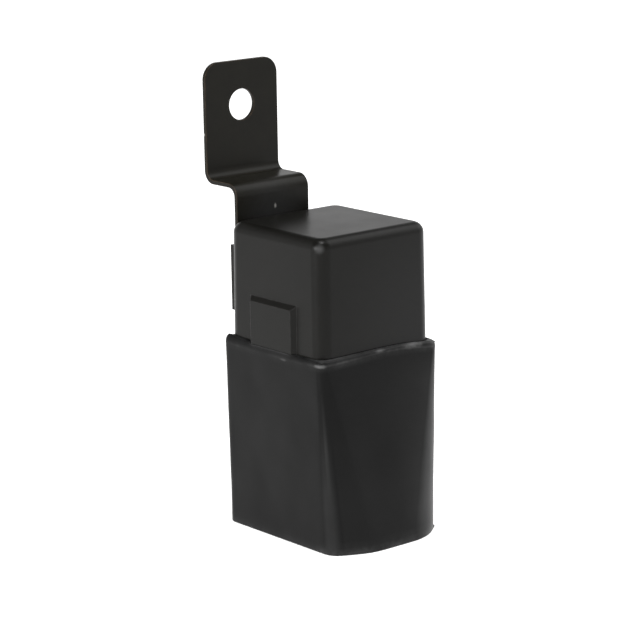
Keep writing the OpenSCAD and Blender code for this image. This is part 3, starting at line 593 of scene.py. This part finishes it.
# %% Columns round the boot
flats = {0.0: 14, 90.0: 14, 180.0: 34, brow_flat: 6, 270.0: 10}      # steps along each flat
DEGREES_A_STEP = 6.5                                        # round the corners
columns = []
angles = sorted(flats) + [360.0]
for start, stop in zip(angles, angles[1:]):
    for step in range(flats[start] + 1):
        columns.append((start, step / flats[start]))
    turns = max(3, round((stop - start) / DEGREES_A_STEP))
    columns += [(start + (stop - start) * k / turns, None) for k in range(1, turns)]
columns.append((360.0, 0.0))


def outline_point(circles, angle, share):
    turn = math.radians(angle)
    if share is None:
        return support(circles, turn, 1)
    return support(circles, turn, -1).lerp(support(circles, turn, 1), share)


outline_sets = {
    "foot": foot_circles,
    "rim": square_circles(RIM_HALF, 1.6 * MM),
    "seat": square_circles(COVER_HALF, 2.8 * MM),
    "window": square_circles(WINDOW_HALF, WINDOW_R)}
print(len(columns), "columns")

# %% Ring guide
ring_mesh = bpy.data.meshes.new("Ring guide")
ring_mesh.from_pydata([(*outline_point(foot_circles, a, s), 0.0) for a, s in columns], [], [])


def store(mesh, name, kind, values):
    layer = mesh.attributes.new(name, kind, "POINT")
    field = "vector" if kind == "FLOAT_VECTOR" else "value"
    layer.data.foreach_set(field, [c for v in values for c in (v if field == "vector" else (v,))])


outlines = {name: [outline_point(circles, a, s) for a, s in columns]
            for name, circles in outline_sets.items()}
# In rubber the short flat in front and the brow run into each other, so they are evened out
SOFT_FROM, SOFT_TO, EVENING = 232.0, 271.0, 14
for _ in range(EVENING):
    loose = outlines["foot"]
    outlines["foot"] = [loose[k].lerp((loose[k - 1] + loose[k + 1]) / 2, 0.5)
                        if SOFT_FROM < columns[k][0] < SOFT_TO else loose[k]
                        for k in range(len(columns))]
for name, points in outlines.items():
    store(ring_mesh, name, "FLOAT_VECTOR", [(*q, 0.0) for q in points])
store(ring_mesh, "out", "FLOAT_VECTOR",
      [(math.cos(math.radians(a)), math.sin(math.radians(a)), 0.0) for a, s in columns])


def bump_at(point, centre, reach):
    """1 at the centre, falling smoothly to 0 at the reach."""
    share = min((point - Vector(centre)).length / reach, 1.0)
    return (1.0 - share * share) ** 2


# The rubber rim isn't quite level: the right front corner has crept down, the middle stands up.
# Each place is a height and how far it spreads along the rim
rim_points = [outline_point(outline_sets["rim"], a, s) for a, s in columns]
FRONT_MIDDLE, FRONT_LEFT = (0.0, -RIM_HALF), (-RIM_HALF, -RIM_HALF)
FRONT_RIGHT, BACK_LEFT = (RIM_HALF, -RIM_HALF), (-RIM_HALF, RIM_HALF)
RIM_SPOTS = ((0.12, FRONT_MIDDLE, 12.0), (-0.55, FRONT_RIGHT, 9.0), (0.20, BACK_LEFT, 7.0))
LIP_SPOTS = ((0.55, FRONT_MIDDLE, 15.0), (0.25, FRONT_LEFT, 9.0))


def raised_by(spots, point):
    return sum(height * MM * bump_at(point, centre, reach * MM) for height, centre, reach in spots)


store(ring_mesh, "rim_lift", "FLOAT", [raised_by(RIM_SPOTS, p) for p in rim_points])
store(ring_mesh, "lip_raise", "FLOAT", [raised_by(LIP_SPOTS, p) for p in rim_points])
# The cover's raised pad stands on the rim: there the lip is pressed square, behind it stands up
PAD_LOW, PAD_HIGH, SPRUNG = -6.6 * MM, 6.6 * MM, 0.40 * MM


def on_left(point, start, stop, blend):
    """1 on the rim's left side between two places along it, falling to 0 past them."""
    if point.x > -RIM_HALF + 0.5 * MM:
        return 0.0
    return max(0.0, min((point.y - start) / blend, (stop - point.y) / blend, 1.0))


store(ring_mesh, "press", "FLOAT", [on_left(p, PAD_LOW, PAD_HIGH, 0.4 * MM) for p in rim_points])
store(ring_mesh, "crest", "FLOAT",
      [SPRUNG * on_left(p, PAD_HIGH - 0.2 * MM, RIM_HALF, 1.0 * MM) for p in rim_points])


def ridge(value, middle, half):
    """1 at the middle, falling evenly to 0 at so far to each side."""
    return max(0.0, 1.0 - abs(value - middle) / half)


# Small tags of rubber are left where the mould's halves met, at the right front corner
TAG, TAG_ANGLE, TAG_SPREAD = 0.35 * MM, 322.0, 9.0
store(ring_mesh, "tag", "FLOAT", [TAG * ridge(a, TAG_ANGLE, TAG_SPREAD) for a, s in columns])

# Painted sheen round the boot, by the angle that the wall faces: a lighter colour where light shines off the
# rubber. A share means that it is a flat
CORNER_FROM, CORNER_TO, CORNER_SHEEN = 184.0, 240.0, 0.38
CREASE_ANGLE, CREASE_SPREAD = 215.0, 9.0
FRONT, RIGHT = 270.0, 360.0
FRONT_SHEEN, SWEEP_START = 0.10, 0.35


def corner_painted_sheen(angle, share):
    """Painted sheen on the left front corner, with a trace of it on toward the front."""
    if CORNER_TO < angle <= FRONT:
        return FRONT_SHEEN
    if not CORNER_FROM < angle < CORNER_TO or share is not None:
        return 0.0
    return CORNER_SHEEN * min(1.0, (angle - CORNER_FROM) / 14.0, (CORNER_TO - angle) / 18.0)


def crease_painted_highlight(angle, share):
    """A narrow painted highlight down the corner, where the rubber is folded tightest."""
    return ridge(angle, CREASE_ANGLE, CREASE_SPREAD) if share is None else 0.0


def sweep_painted_sheen(angle, share):
    """The same painted sheen on the wide sweep on the right."""
    if angle == FRONT and share is not None:
        return SWEEP_START * share ** 3
    if FRONT < angle < RIGHT:
        return min(1.0, SWEEP_START + (angle - FRONT) / 18.0)
    return 1.0 - share if angle == 0.0 and share is not None else 0.0


# The rim's lip is lighter along the front, where the hand pulls the boot on: partly rubbed wear, partly
# painted highlight standing in for light along its rounded edge
LEAST_RUB = 0.25
in_front = [1.0 if p.y < -RIM_HALF + 1.0 * MM else bump_at(p, FRONT_LEFT, 6.0 * MM)
            for p in rim_points]
store(ring_mesh, "rim_rub", "FLOAT", [LEAST_RUB + (1.0 - LEAST_RUB) * f for f in in_front])
for name, amount in (("corner", corner_painted_sheen), ("crease", crease_painted_highlight), ("sweep", sweep_painted_sheen)):
    store(ring_mesh, name, "FLOAT", [amount(a, s) for a, s in columns])
print("ring guide:", sorted(a.name for a in ring_mesh.attributes if not a.is_internal))

# %% Cross-section guide
COLUMNS_OF = ("foot", "rim", "seat", "window", "inset", "height", "wave", "edge", "lip", "tag",
              "crest")
section = []


def row(height, **shares):
    """One row of the cross-section. What isn't named is 0."""
    section.append({**dict.fromkeys(COLUMNS_OF, 0.0), "height": height, **shares})


FOOT_ROUND, FOOT_STEPS = 0.35 * MM, 4
# How light each row of the lip is painted: rubbed wear, with painted highlight lines at the lip's foot and
# crest
LIP_RUB_AND_SHINE = (1.0, 0.7, 0.3, 0.2, 0.2, 0.3, 0.7, 1.0, 1.0)
LIP_Z = BOOT_H - LIP_DROP
LIP_STEPS = len(LIP_RUB_AND_SHINE) - 1
WALL_ROWS, POCKET_ROWS, SKIRT_ROWS = 30, 8, 12
for k in range(FOOT_STEPS + 1):                      # rounded outer edge of the foot
    turn = math.pi / 2 * (FOOT_STEPS - k) / FOOT_STEPS
    row(FOOT_ROUND * (1 - math.sin(turn)), foot=1.0, inset=FOOT_ROUND * (1 - math.cos(turn)),
        edge=0.5 + 0.5 * k / FOOT_STEPS, tag=1.0 if k == FOOT_STEPS - 1 else 0.0)
for k in range(1, WALL_ROWS):                        # outer wall, from the foot to the rim
    share = k / WALL_ROWS
    z = FOOT_ROUND + (LIP_Z - FOOT_ROUND) * share
    row(z, foot=1.0 - z / LIP_Z, rim=z / LIP_Z, lip=share ** 6,
        wave=min(1.0, 6.0 * share * (1.0 - share) + 0.15), edge=max(0.0, 0.6 - 0.4 * k))
UNDER_LIP = 0.25 * MM
row(LIP_Z - UNDER_LIP, foot=UNDER_LIP / LIP_Z, rim=1.0 - UNDER_LIP / LIP_Z, lip=1.0, wave=0.15,
    edge=0.4)
for k in range(LIP_STEPS + 1):                       # rounded lip
    turn = math.pi / 2 * k / LIP_STEPS
    row(LIP_Z + LIP_DROP * math.sin(turn), rim=1.0, lip=1.0 - math.sin(turn),
        inset=(GRIP_WALL - LIP_LAND) * (1 - math.cos(turn)), edge=LIP_RUB_AND_SHINE[k],
        tag=1.0 if k == LIP_STEPS / 2 else 0.0, crest=math.sin(turn))


def seat_inset(z):
    """The pocket's wall follows the cover's draft and leaves the cover a little room."""
    return COVER_DRAFT * (z - MOUTH_Z) / COVER_H - BOOT_GAP


for k in range(POCKET_ROWS + 1):                     # wall of the pocket, down to the flange
    z = BOOT_H - (BOOT_H - MOUTH_Z) * k / POCKET_ROWS
    row(z - (BOOT_GAP if k == 0 else 0.0), seat=1.0, inset=seat_inset(z),
        crest=0.5 ** k if k < 3 else 0.0, edge=1.0 if k == 0 else 0.0)
row(MOUTH_Z, window=1.0)
row(MOUTH_Z - FLANGE_T, window=1.0)
for k in range(SKIRT_ROWS + 1):                      # inside of the skirt
    z = (MOUTH_Z - FLANGE_T) * (1 - k / SKIRT_ROWS)
    row(z, foot=1.0 - z / LIP_Z, rim=z / LIP_Z, inset=SKIRT_WALL,
        wave=0.5 * min(1.0, z / (5.0 * MM)))
section.append(section[0])
section_mesh = bpy.data.meshes.new("Section guide")
section_mesh.from_pydata([(r["wave"], 0.0, r["height"]) for r in section], [], [])
for name in COLUMNS_OF:
    store(section_mesh, name + "_of", "FLOAT", [r[name] for r in section])
# The rim's sag reaches down to one height, the painted sheen up to another, the crease's painted highlight
# between
SAG_FROM, GREY_TO, GREY_FADE = 20.0 * MM, 26.0 * MM, 14.0 * MM
FOLD_Z, FOLD_HALF, FOLD_HIGHLIGHT = 21.0 * MM, 11.0 * MM, 0.5
for name, amount in (
        ("rim_share_of", lambda z: max(0.0, (z - SAG_FROM) / (BOOT_H - SAG_FROM)) ** 2),
        ("low_of", lambda z: max(0.0, min(1.0, (GREY_TO - z) / GREY_FADE))),
        ("fold_of", lambda z: FOLD_HIGHLIGHT * ridge(z, FOLD_Z, FOLD_HALF))):
    store(section_mesh, name, "FLOAT", [amount(r["height"]) for r in section])
print(len(section), "rows in the cross-section")

# %% Loft tree
def geometry_tree(name, sockets):
    """A geometry tree with named inputs. Each socket is (name, kind, value)."""
    tree = bpy.data.node_groups.new(name, "GeometryNodeTree")
    tree.interface.new_socket("Geometry", in_out="INPUT", socket_type="NodeSocketGeometry")
    tree.interface.new_socket("Geometry", in_out="OUTPUT", socket_type="NodeSocketGeometry")
    for label, kind, value in sockets:
        socket = tree.interface.new_socket(label, in_out="INPUT", socket_type="NodeSocket" + kind)
        if value is not None:
            socket.default_value = value
    return tree, put(tree, "NodeGroupInput").outputs, put(tree, "NodeGroupOutput").inputs


def dress(tree, geometry, material, outlet):
    """Ends a tree: smooth shading, no instances left, and a material."""
    smooth = put(tree, "GeometryNodeSetShadeSmooth", {"Geometry": geometry, "Shade Smooth": True})
    real = put(tree, "GeometryNodeRealizeInstances", {"Geometry": smooth.outputs[0]})
    dressed = put(tree, "GeometryNodeSetMaterial", {"Geometry": real.outputs[0],
        "Material": material})
    tree.links.new(dressed.outputs[0], outlet)


loft, given, result = geometry_tree("Ring loft", [
    ("Ring guide", "Object", None), ("Section guide", "Object", None), ("Columns", "Int", 10),
    ("Rows", "Int", 10), ("Wave height", "Float", 0.0), ("Waves per metre", "Float", 100.0),
    ("Material", "Material", None)])


def guide(tree, source):
    return put(tree, "GeometryNodeObjectInfo", {"Object": source}).outputs["Geometry"]


def sampled(tree, geometry, name, index, kind="FLOAT"):
    """The guide's attribute at an index."""
    named = put(tree, "GeometryNodeInputNamedAttribute", {"Name": name}, data_type=kind)
    picked = put(tree, "GeometryNodeSampleIndex", {"Geometry": geometry,
        "Value": named.outputs["Attribute"], "Index": index}, data_type=kind)
    return picked.outputs["Value"]


sheet = put(loft, "GeometryNodeMeshGrid", {"Vertices X": given["Rows"],
    "Vertices Y": given["Columns"]}).outputs["Mesh"]
index = put(loft, "GeometryNodeInputIndex").outputs[0]
row_number = math_of(loft, "FLOOR", math_of(loft, "DIVIDE", plus(loft, index, 0.5),
    given["Columns"]))
column_number = math_of(loft, "SUBTRACT", index, times(loft, row_number, given["Columns"]))
ring, section_guide = guide(loft, given["Ring guide"]), guide(loft, given["Section guide"])


def by_column(name, kind="FLOAT"):
    return sampled(loft, ring, name, column_number, kind)


def by_row(name):
    return sampled(loft, section_guide, name, row_number)


def shared(column_name, row_name):
    """A column's value, as far as the row takes part in it."""
    return times(loft, by_column(column_name), by_row(row_name))


spot = None
for name in outline_sets:
    part = vector_of(loft, "SCALE", by_column(name, "FLOAT_VECTOR"), by_row(name + "_of"))
    spot = part if spot is None else vector_of(loft, "ADD", spot, part)
out = by_column("out", "FLOAT_VECTOR")
kept_round = math_of(loft, "SUBTRACT", 1.0, shared("press", "crest_of"))
spot = vector_of(loft, "SUBTRACT", spot, vector_of(
    loft, "SCALE", out, times(loft, by_row("inset_of"), kept_round)))
lift = plus(loft, shared("rim_lift", "rim_share_of"), shared("lip_raise", "lip_of"))
lift = plus(loft, lift, shared("crest", "crest_of"))
height = put(loft, "ShaderNodeCombineXYZ", {"Z": plus(loft, by_row("height_of"), lift)})
spot = vector_of(loft, "ADD", spot, height.outputs[0])
UNMOVED = 0.72                          # above the noise's middle, so most waves go inward
wavy = noise_of(loft, spot, given["Waves per metre"], 1.0)
swell = times(loft, math_of(loft, "SUBTRACT", wavy, UNMOVED),
              times(loft, given["Wave height"], by_row("wave_of")))
swell = plus(loft, swell, shared("tag", "tag_of"))
spot = vector_of(loft, "ADD", spot, vector_of(loft, "SCALE", out, swell))
marked = put(loft, "GeometryNodeSetPosition", {"Geometry": sheet, "Position": spot}).outputs[0]
# Painted sheen and highlight: the corner, sweep and crease shares go into one attribute that lightens the
# rubber's colour
bloom = math_of(loft, "MAXIMUM", shared("corner", "low_of"), shared("sweep", "wave_of"))
bloom = plus(loft, bloom, shared("crease", "fold_of"))
for mark, value in (("edge", shared("rim_rub", "edge_of")), ("bloom", bloom)):
    marked = put(loft, "GeometryNodeStoreNamedAttribute", {"Geometry": marked, "Name": mark,
        "Value": value}, data_type="FLOAT", domain="POINT").outputs[0]
joined = put(loft, "GeometryNodeMergeByDistance", {"Geometry": marked, "Distance": WELD})
dress(loft, joined.outputs[0], given["Material"], result[0])
print("loft tree:", len(loft.nodes), "nodes")

# %% Grown pieces
def grown(name, tree, inputs, start=None):
    """Runs a geometry tree and keeps its result as a plain mesh in a new object."""
    seed = bpy.data.objects.new(name + " seed", start or bpy.data.meshes.new(name + " seed"))
    scene.collection.objects.link(seed)
    runner = seed.modifiers.new("Tree", "NODES")
    runner.node_group = tree
    keys = {i.name: i.identifier for i in tree.interface.items_tree if i.in_out == "INPUT"}
    for label, value in inputs.items():
        runner[keys[label]] = value
    seed.update_tag()
    graph = bpy.context.evaluated_depsgraph_get()
    graph.update()
    mesh = bpy.data.meshes.new_from_object(seed.evaluated_get(graph))
    seed.modifiers.remove(runner)
    bpy.data.objects.remove(seed)
    work = bmesh.new()
    work.from_mesh(mesh)
    bmesh.ops.recalc_face_normals(work, faces=work.faces)
    open_edges = sum(1 for e in work.edges if not e.is_manifold)
    work.to_mesh(mesh)
    work.free()
    mesh.name = name
    piece = bpy.data.objects.new(name, mesh)
    scene.collection.objects.link(piece)
    print(name, "-", len(mesh.polygons), "faces,", open_edges, "open edges")
    return piece


guides = []
for mesh in (ring_mesh, section_mesh):
    guides.append(bpy.data.objects.new(mesh.name, mesh))
    scene.collection.objects.link(guides[-1])
boot = grown("Boot", loft, {"Ring guide": guides[0], "Section guide": guides[1],
    "Columns": len(columns), "Rows": len(section), "Wave height": 0.25 * MM,
    "Waves per metre": 110.0, "Material": rubber})
for helper in guides:
    bpy.data.objects.remove(helper)
settle(boot, "boot", "case")

# %% [markdown]
# ## Wound and braided wire
# The coil is enamelled wire wound turn on turn, the spring is wire with a hook at each end, and
# the braid is seven fine strands laid round each other so that it bends with the armature. All
# three are wire that follows a path, so one Geometry Nodes tree makes them: it copies the path
# once for each strand, lays the copies in a spiral round it, and gives them a round section.

# %% Wire tree
wire_lay, given, result = geometry_tree("Wire lay", [
    ("Strands", "Int", 1), ("Lay radius", "Float", 0.0), ("Turns", "Float", 0.0),
    ("Points", "Int", 16), ("Wire radius", "Float", 0.1 * MM), ("Sides", "Int", 6),
    ("Material", "Material", None)])
path = put(wire_lay, "GeometryNodeMeshToCurve", {"Mesh": given["Geometry"]})
even = put(wire_lay, "GeometryNodeResampleCurve", {"Curve": path.outputs[0],
    "Count": given["Points"]})
copies = put(wire_lay, "GeometryNodeDuplicateElements", {"Geometry": even.outputs[0],
    "Amount": given["Strands"]}, domain="SPLINE")
along = put(wire_lay, "GeometryNodeSplineParameter").outputs["Factor"]
strand_share = math_of(wire_lay, "DIVIDE", copies.outputs["Duplicate Index"], given["Strands"])
turn = times(wire_lay, math.tau, plus(wire_lay, times(wire_lay, along, given["Turns"]),
    strand_share))
side = put(wire_lay, "GeometryNodeInputNormal").outputs[0]
heading = put(wire_lay, "GeometryNodeInputTangent").outputs[0]
across = vector_of(wire_lay, "CROSS_PRODUCT", heading, side)
spoke = vector_of(wire_lay, "ADD",
                  vector_of(wire_lay, "SCALE", side, math_of(wire_lay, "COSINE", turn)),
                  vector_of(wire_lay, "SCALE", across, math_of(wire_lay, "SINE", turn)))
offset = vector_of(wire_lay, "SCALE", spoke, given["Lay radius"])
laid = put(wire_lay, "GeometryNodeSetPosition", {"Geometry": copies.outputs[0], "Offset": offset})
circle = put(wire_lay, "GeometryNodeCurvePrimitiveCircle", {"Resolution": given["Sides"],
    "Radius": given["Wire radius"]})
solid = put(wire_lay, "GeometryNodeCurveToMesh", {"Curve": laid.outputs[0],
    "Profile Curve": circle.outputs[0], "Fill Caps": True})
dress(wire_lay, solid.outputs[0], given["Material"], result[0])
print("wire tree:", len(wire_lay.nodes), "nodes")


def wire(name, points, material, radius, strands=1, lay=0.0, turns=0.0, count=16, sides=6):
    """Wire along a path of points."""
    line = bpy.data.meshes.new(name + " path")
    line.from_pydata(points, [(k, k + 1) for k in range(len(points) - 1)], [])
    return grown(name, wire_lay, {"Strands": strands, "Lay radius": lay, "Turns": turns,
            "Points": count, "Wire radius": radius, "Sides": sides, "Material": material},
            start=line)

# %% Coil winding
winding_low, winding_high = (Vector(c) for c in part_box("coil_winding"))
WINDING_WIRE, POINTS_A_TURN = 0.16 * MM, 28
winding_r = (winding_high.x - winding_low.x) / 2
winding_y = (winding_low.y + winding_high.y) / 2
coil_turns = round((winding_high.z - winding_low.z) / (2 * WINDING_WIRE)) - 1
winding = wire("Coil_winding", [(0, winding_y, winding_low.z + WINDING_WIRE), (0, winding_y,
    winding_high.z - WINDING_WIRE)], enamelled_copper, WINDING_WIRE, lay=winding_r - WINDING_WIRE,
    turns=coil_turns, count=coil_turns * POINTS_A_TURN, sides=5)
print(coil_turns, "turns of wire")

# %% Inner layers of the coil
# The turns under the outer layer aren't seen, so a plain bush carries it
OUTER_SHARE, SINK = 0.8, 1.2 * WINDING_WIRE
inner = clean_copy("coil_winding")
for vert in inner.verts:
    reach = Vector((vert.co.x, vert.co.y - winding_y))
    if reach.length > winding_r * OUTER_SHARE:
        reach = reach.normalized() * (reach.length - SINK)
        vert.co.x, vert.co.y = reach.x, winding_y + reach.y
bush = bpy.data.meshes.new("Coil bush")
inner.to_mesh(bush)
inner.free()
both_layers = bmesh.new()
both_layers.from_mesh(winding.data)
both_layers.from_mesh(bush)
both_layers.to_mesh(winding.data)
both_layers.free()
settle(winding, "coil_winding", "case")

# %% Return spring
# The joint gives the hinge line. The sheet thicknesses repeat those of the CAD source
joint = frame["joints"][0]
hinge = Vector(joint["pos_m"])
LIFT = math.radians(joint["range_deg"][1])
ARMATURE_T, LEAF_T = 1.5 * MM, 0.3 * MM


def rest_height(y, above):
    """Height at rest of a face that lies so far above the tipped armature's underside."""
    return hinge.z + (hinge.y - y) * math.tan(LIFT) + above / math.cos(LIFT)


SPRING_WIRE, SPRING_D, SPRING_TURNS = 0.35 * MM, 1.9 * MM, 12
spring_low, spring_high = (Vector(c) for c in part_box("return_spring"))
spring_y = (spring_low.y + spring_high.y) / 2
LUG_TOP = 37.0 * MM
NECK, HOOK_BEND = 3 * SPRING_WIRE, 0.3
wire_r = SPRING_WIRE / 2
under_lug = spring_low.z + wire_r
over_tail = spring_high.z - wire_r
coil_low = LUG_TOP + 2 * NECK
coil_high = rest_height(spring_y, 0.0) - 2 * NECK
STEPS = 20
spring_path = [(0, -SPRING_D / 2 + wire_r, under_lug), (0, -wire_r, under_lug),
               (0, -HOOK_BEND * wire_r, under_lug + HOOK_BEND * wire_r),
               (0, 0, under_lug + wire_r),
               (0, 0, coil_low - NECK)]
for k in range(SPRING_TURNS * STEPS + 1):
    spin = math.tau * k / STEPS
    ease = min(1.0, k / (STEPS / 2), (SPRING_TURNS * STEPS - k) / (STEPS / 2))
    spring_path.append((ease * SPRING_D / 2 * math.cos(spin), ease * SPRING_D / 2 * math.sin(spin),
                        coil_low + (coil_high - coil_low) * k / (SPRING_TURNS * STEPS)))
spring_path += [(0, 0, coil_high + NECK), (0, 0, over_tail - wire_r),
                (0, HOOK_BEND * wire_r, over_tail - HOOK_BEND * wire_r), (0, wire_r, over_tail),
                (0, SPRING_D / 2 - wire_r, over_tail)]
spring_path = [(x, spring_y + y, z) for x, y, z in spring_path]
spring = wire("Return_spring", spring_path, spring_steel, wire_r, count=700, sides=8)
settle(spring, "return_spring", None)
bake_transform(spring, "case", "armature", start=(0, spring_y, coil_low), end=(0, spring_y, coil_high))

# %% Braid
BRAID_D, STRANDS = 1.2 * MM, 7
STRAND = BRAID_D / 6
SEAT_GAP, POLE_GAP = 0.02 * MM, 0.03 * MM
braid_low, braid_high = (Vector(c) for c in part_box("braid"))
braid_x = (braid_low.x + braid_high.x) / 2
standoff = BRAID_D / 2 + SEAT_GAP
behind = hinge.y + standoff
bow = BRAID_D * 3 / 4
front = braid_low.y
weld, landing = front + BRAID_D * 3 / 2, front + BRAID_D * 7 / 2
on_leaf = ARMATURE_T + LEAF_T + standoff
pole_top = hinge.z - POLE_GAP
fall = pole_top - braid_low.z
stations = [(behind, braid_low.z), (behind, braid_low.z + fall * 2 / 7),
            (behind + bow, braid_low.z + fall * 5 / 7), (behind + bow, pole_top + BRAID_D),
            (hinge.y - bow * 2, pole_top + BRAID_D * 3),
            (landing, rest_height(landing, on_leaf + BRAID_D / 8)),
            (weld, rest_height(weld, on_leaf)), (front, rest_height(front, on_leaf))]


def smooth_path(points, steps):
    """A smooth curve through the points, with so many steps between each pair."""
    made = []
    last = len(points) - 1
    for k in range(last):
        a, b, c, d = (Vector(points[max(0, min(last, k + n))]) for n in (-1, 0, 1, 2))
        for step in range(steps):
            u = step / steps
            made.append(0.5 * (2 * b + (c - a) * u + (2 * a - 5 * b + 4 * c - d) * u * u
                               + (3 * b - a - 3 * c + d) * u ** 3))
    return made + [Vector(points[last])]


braid_path = [(braid_x, q[0], q[1]) for q in smooth_path(stations, 8)]
braid = wire("Braid", braid_path, enamelled_copper, STRAND, strands=STRANDS,
             lay=BRAID_D / 2 - STRAND, turns=5.0, count=110, sides=6)
settle(braid, "braid", None)
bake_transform(braid, "case", "armature", start=(braid_x, behind, stations[3][1]),
         end=(braid_x, landing, stations[5][1]))

# %% [markdown]
# ## Resistor
# A suppression resistor is a small ceramic rod with metal end caps pressed on, dipped in lacquer
# and ringed with colour bands that give its value. The bands could be separate rings, but they
# are only paint, so the material paints them by the distance along the rod.

# %% Resistor lacquer and bands
lacquer = bpy.data.materials.new("Lacquer with bands")
lacquer.use_nodes = True
tree = lacquer.node_tree
shader = tree.nodes["Principled BSDF"]
base = use_group(tree, mottle_group, {"Colour": rgba((0.52, 0.38, 0.20)),
    "Second colour": rgba((0.60, 0.46, 0.27)), "Patches per metre": 700.0})["Colour"]
along_rod = put(tree, "ShaderNodeSeparateXYZ", {0: object_position(tree)}).outputs["X"]
BAND_HALF = 0.2 * MM
for centre, paint in ((-1.55, (0.25, 0.06, 0.02)), (-0.6, (0.02, 0.02, 0.02)),
                      (0.05, (0.45, 0.10, 0.02)), (1.5, (0.55, 0.40, 0.12))):
    away = math_of(tree, "ABSOLUTE", math_of(tree, "SUBTRACT", along_rod, centre * MM))
    base = colour_mix(tree, math_of(tree, "LESS_THAN", away, BAND_HALF), base, rgba(paint))
tree.links.new(base, shader.inputs["Base Color"])
grain = use_group(tree, grain_group, {"Depth": 0.006, "Waves per metre": 500.0, "Wave depth": 0.06})
tree.links.new(grain["Normal"], shader.inputs["Normal"])
tree.links.new(mapped(tree, grain["Grain"], low=0.22, high=0.36), shader.inputs["Roughness"])
shader.inputs["Specular IOR Level"].default_value = 0.45
soften("resistor", "Resistor", lacquer, 0.22 * MM, segments=3)
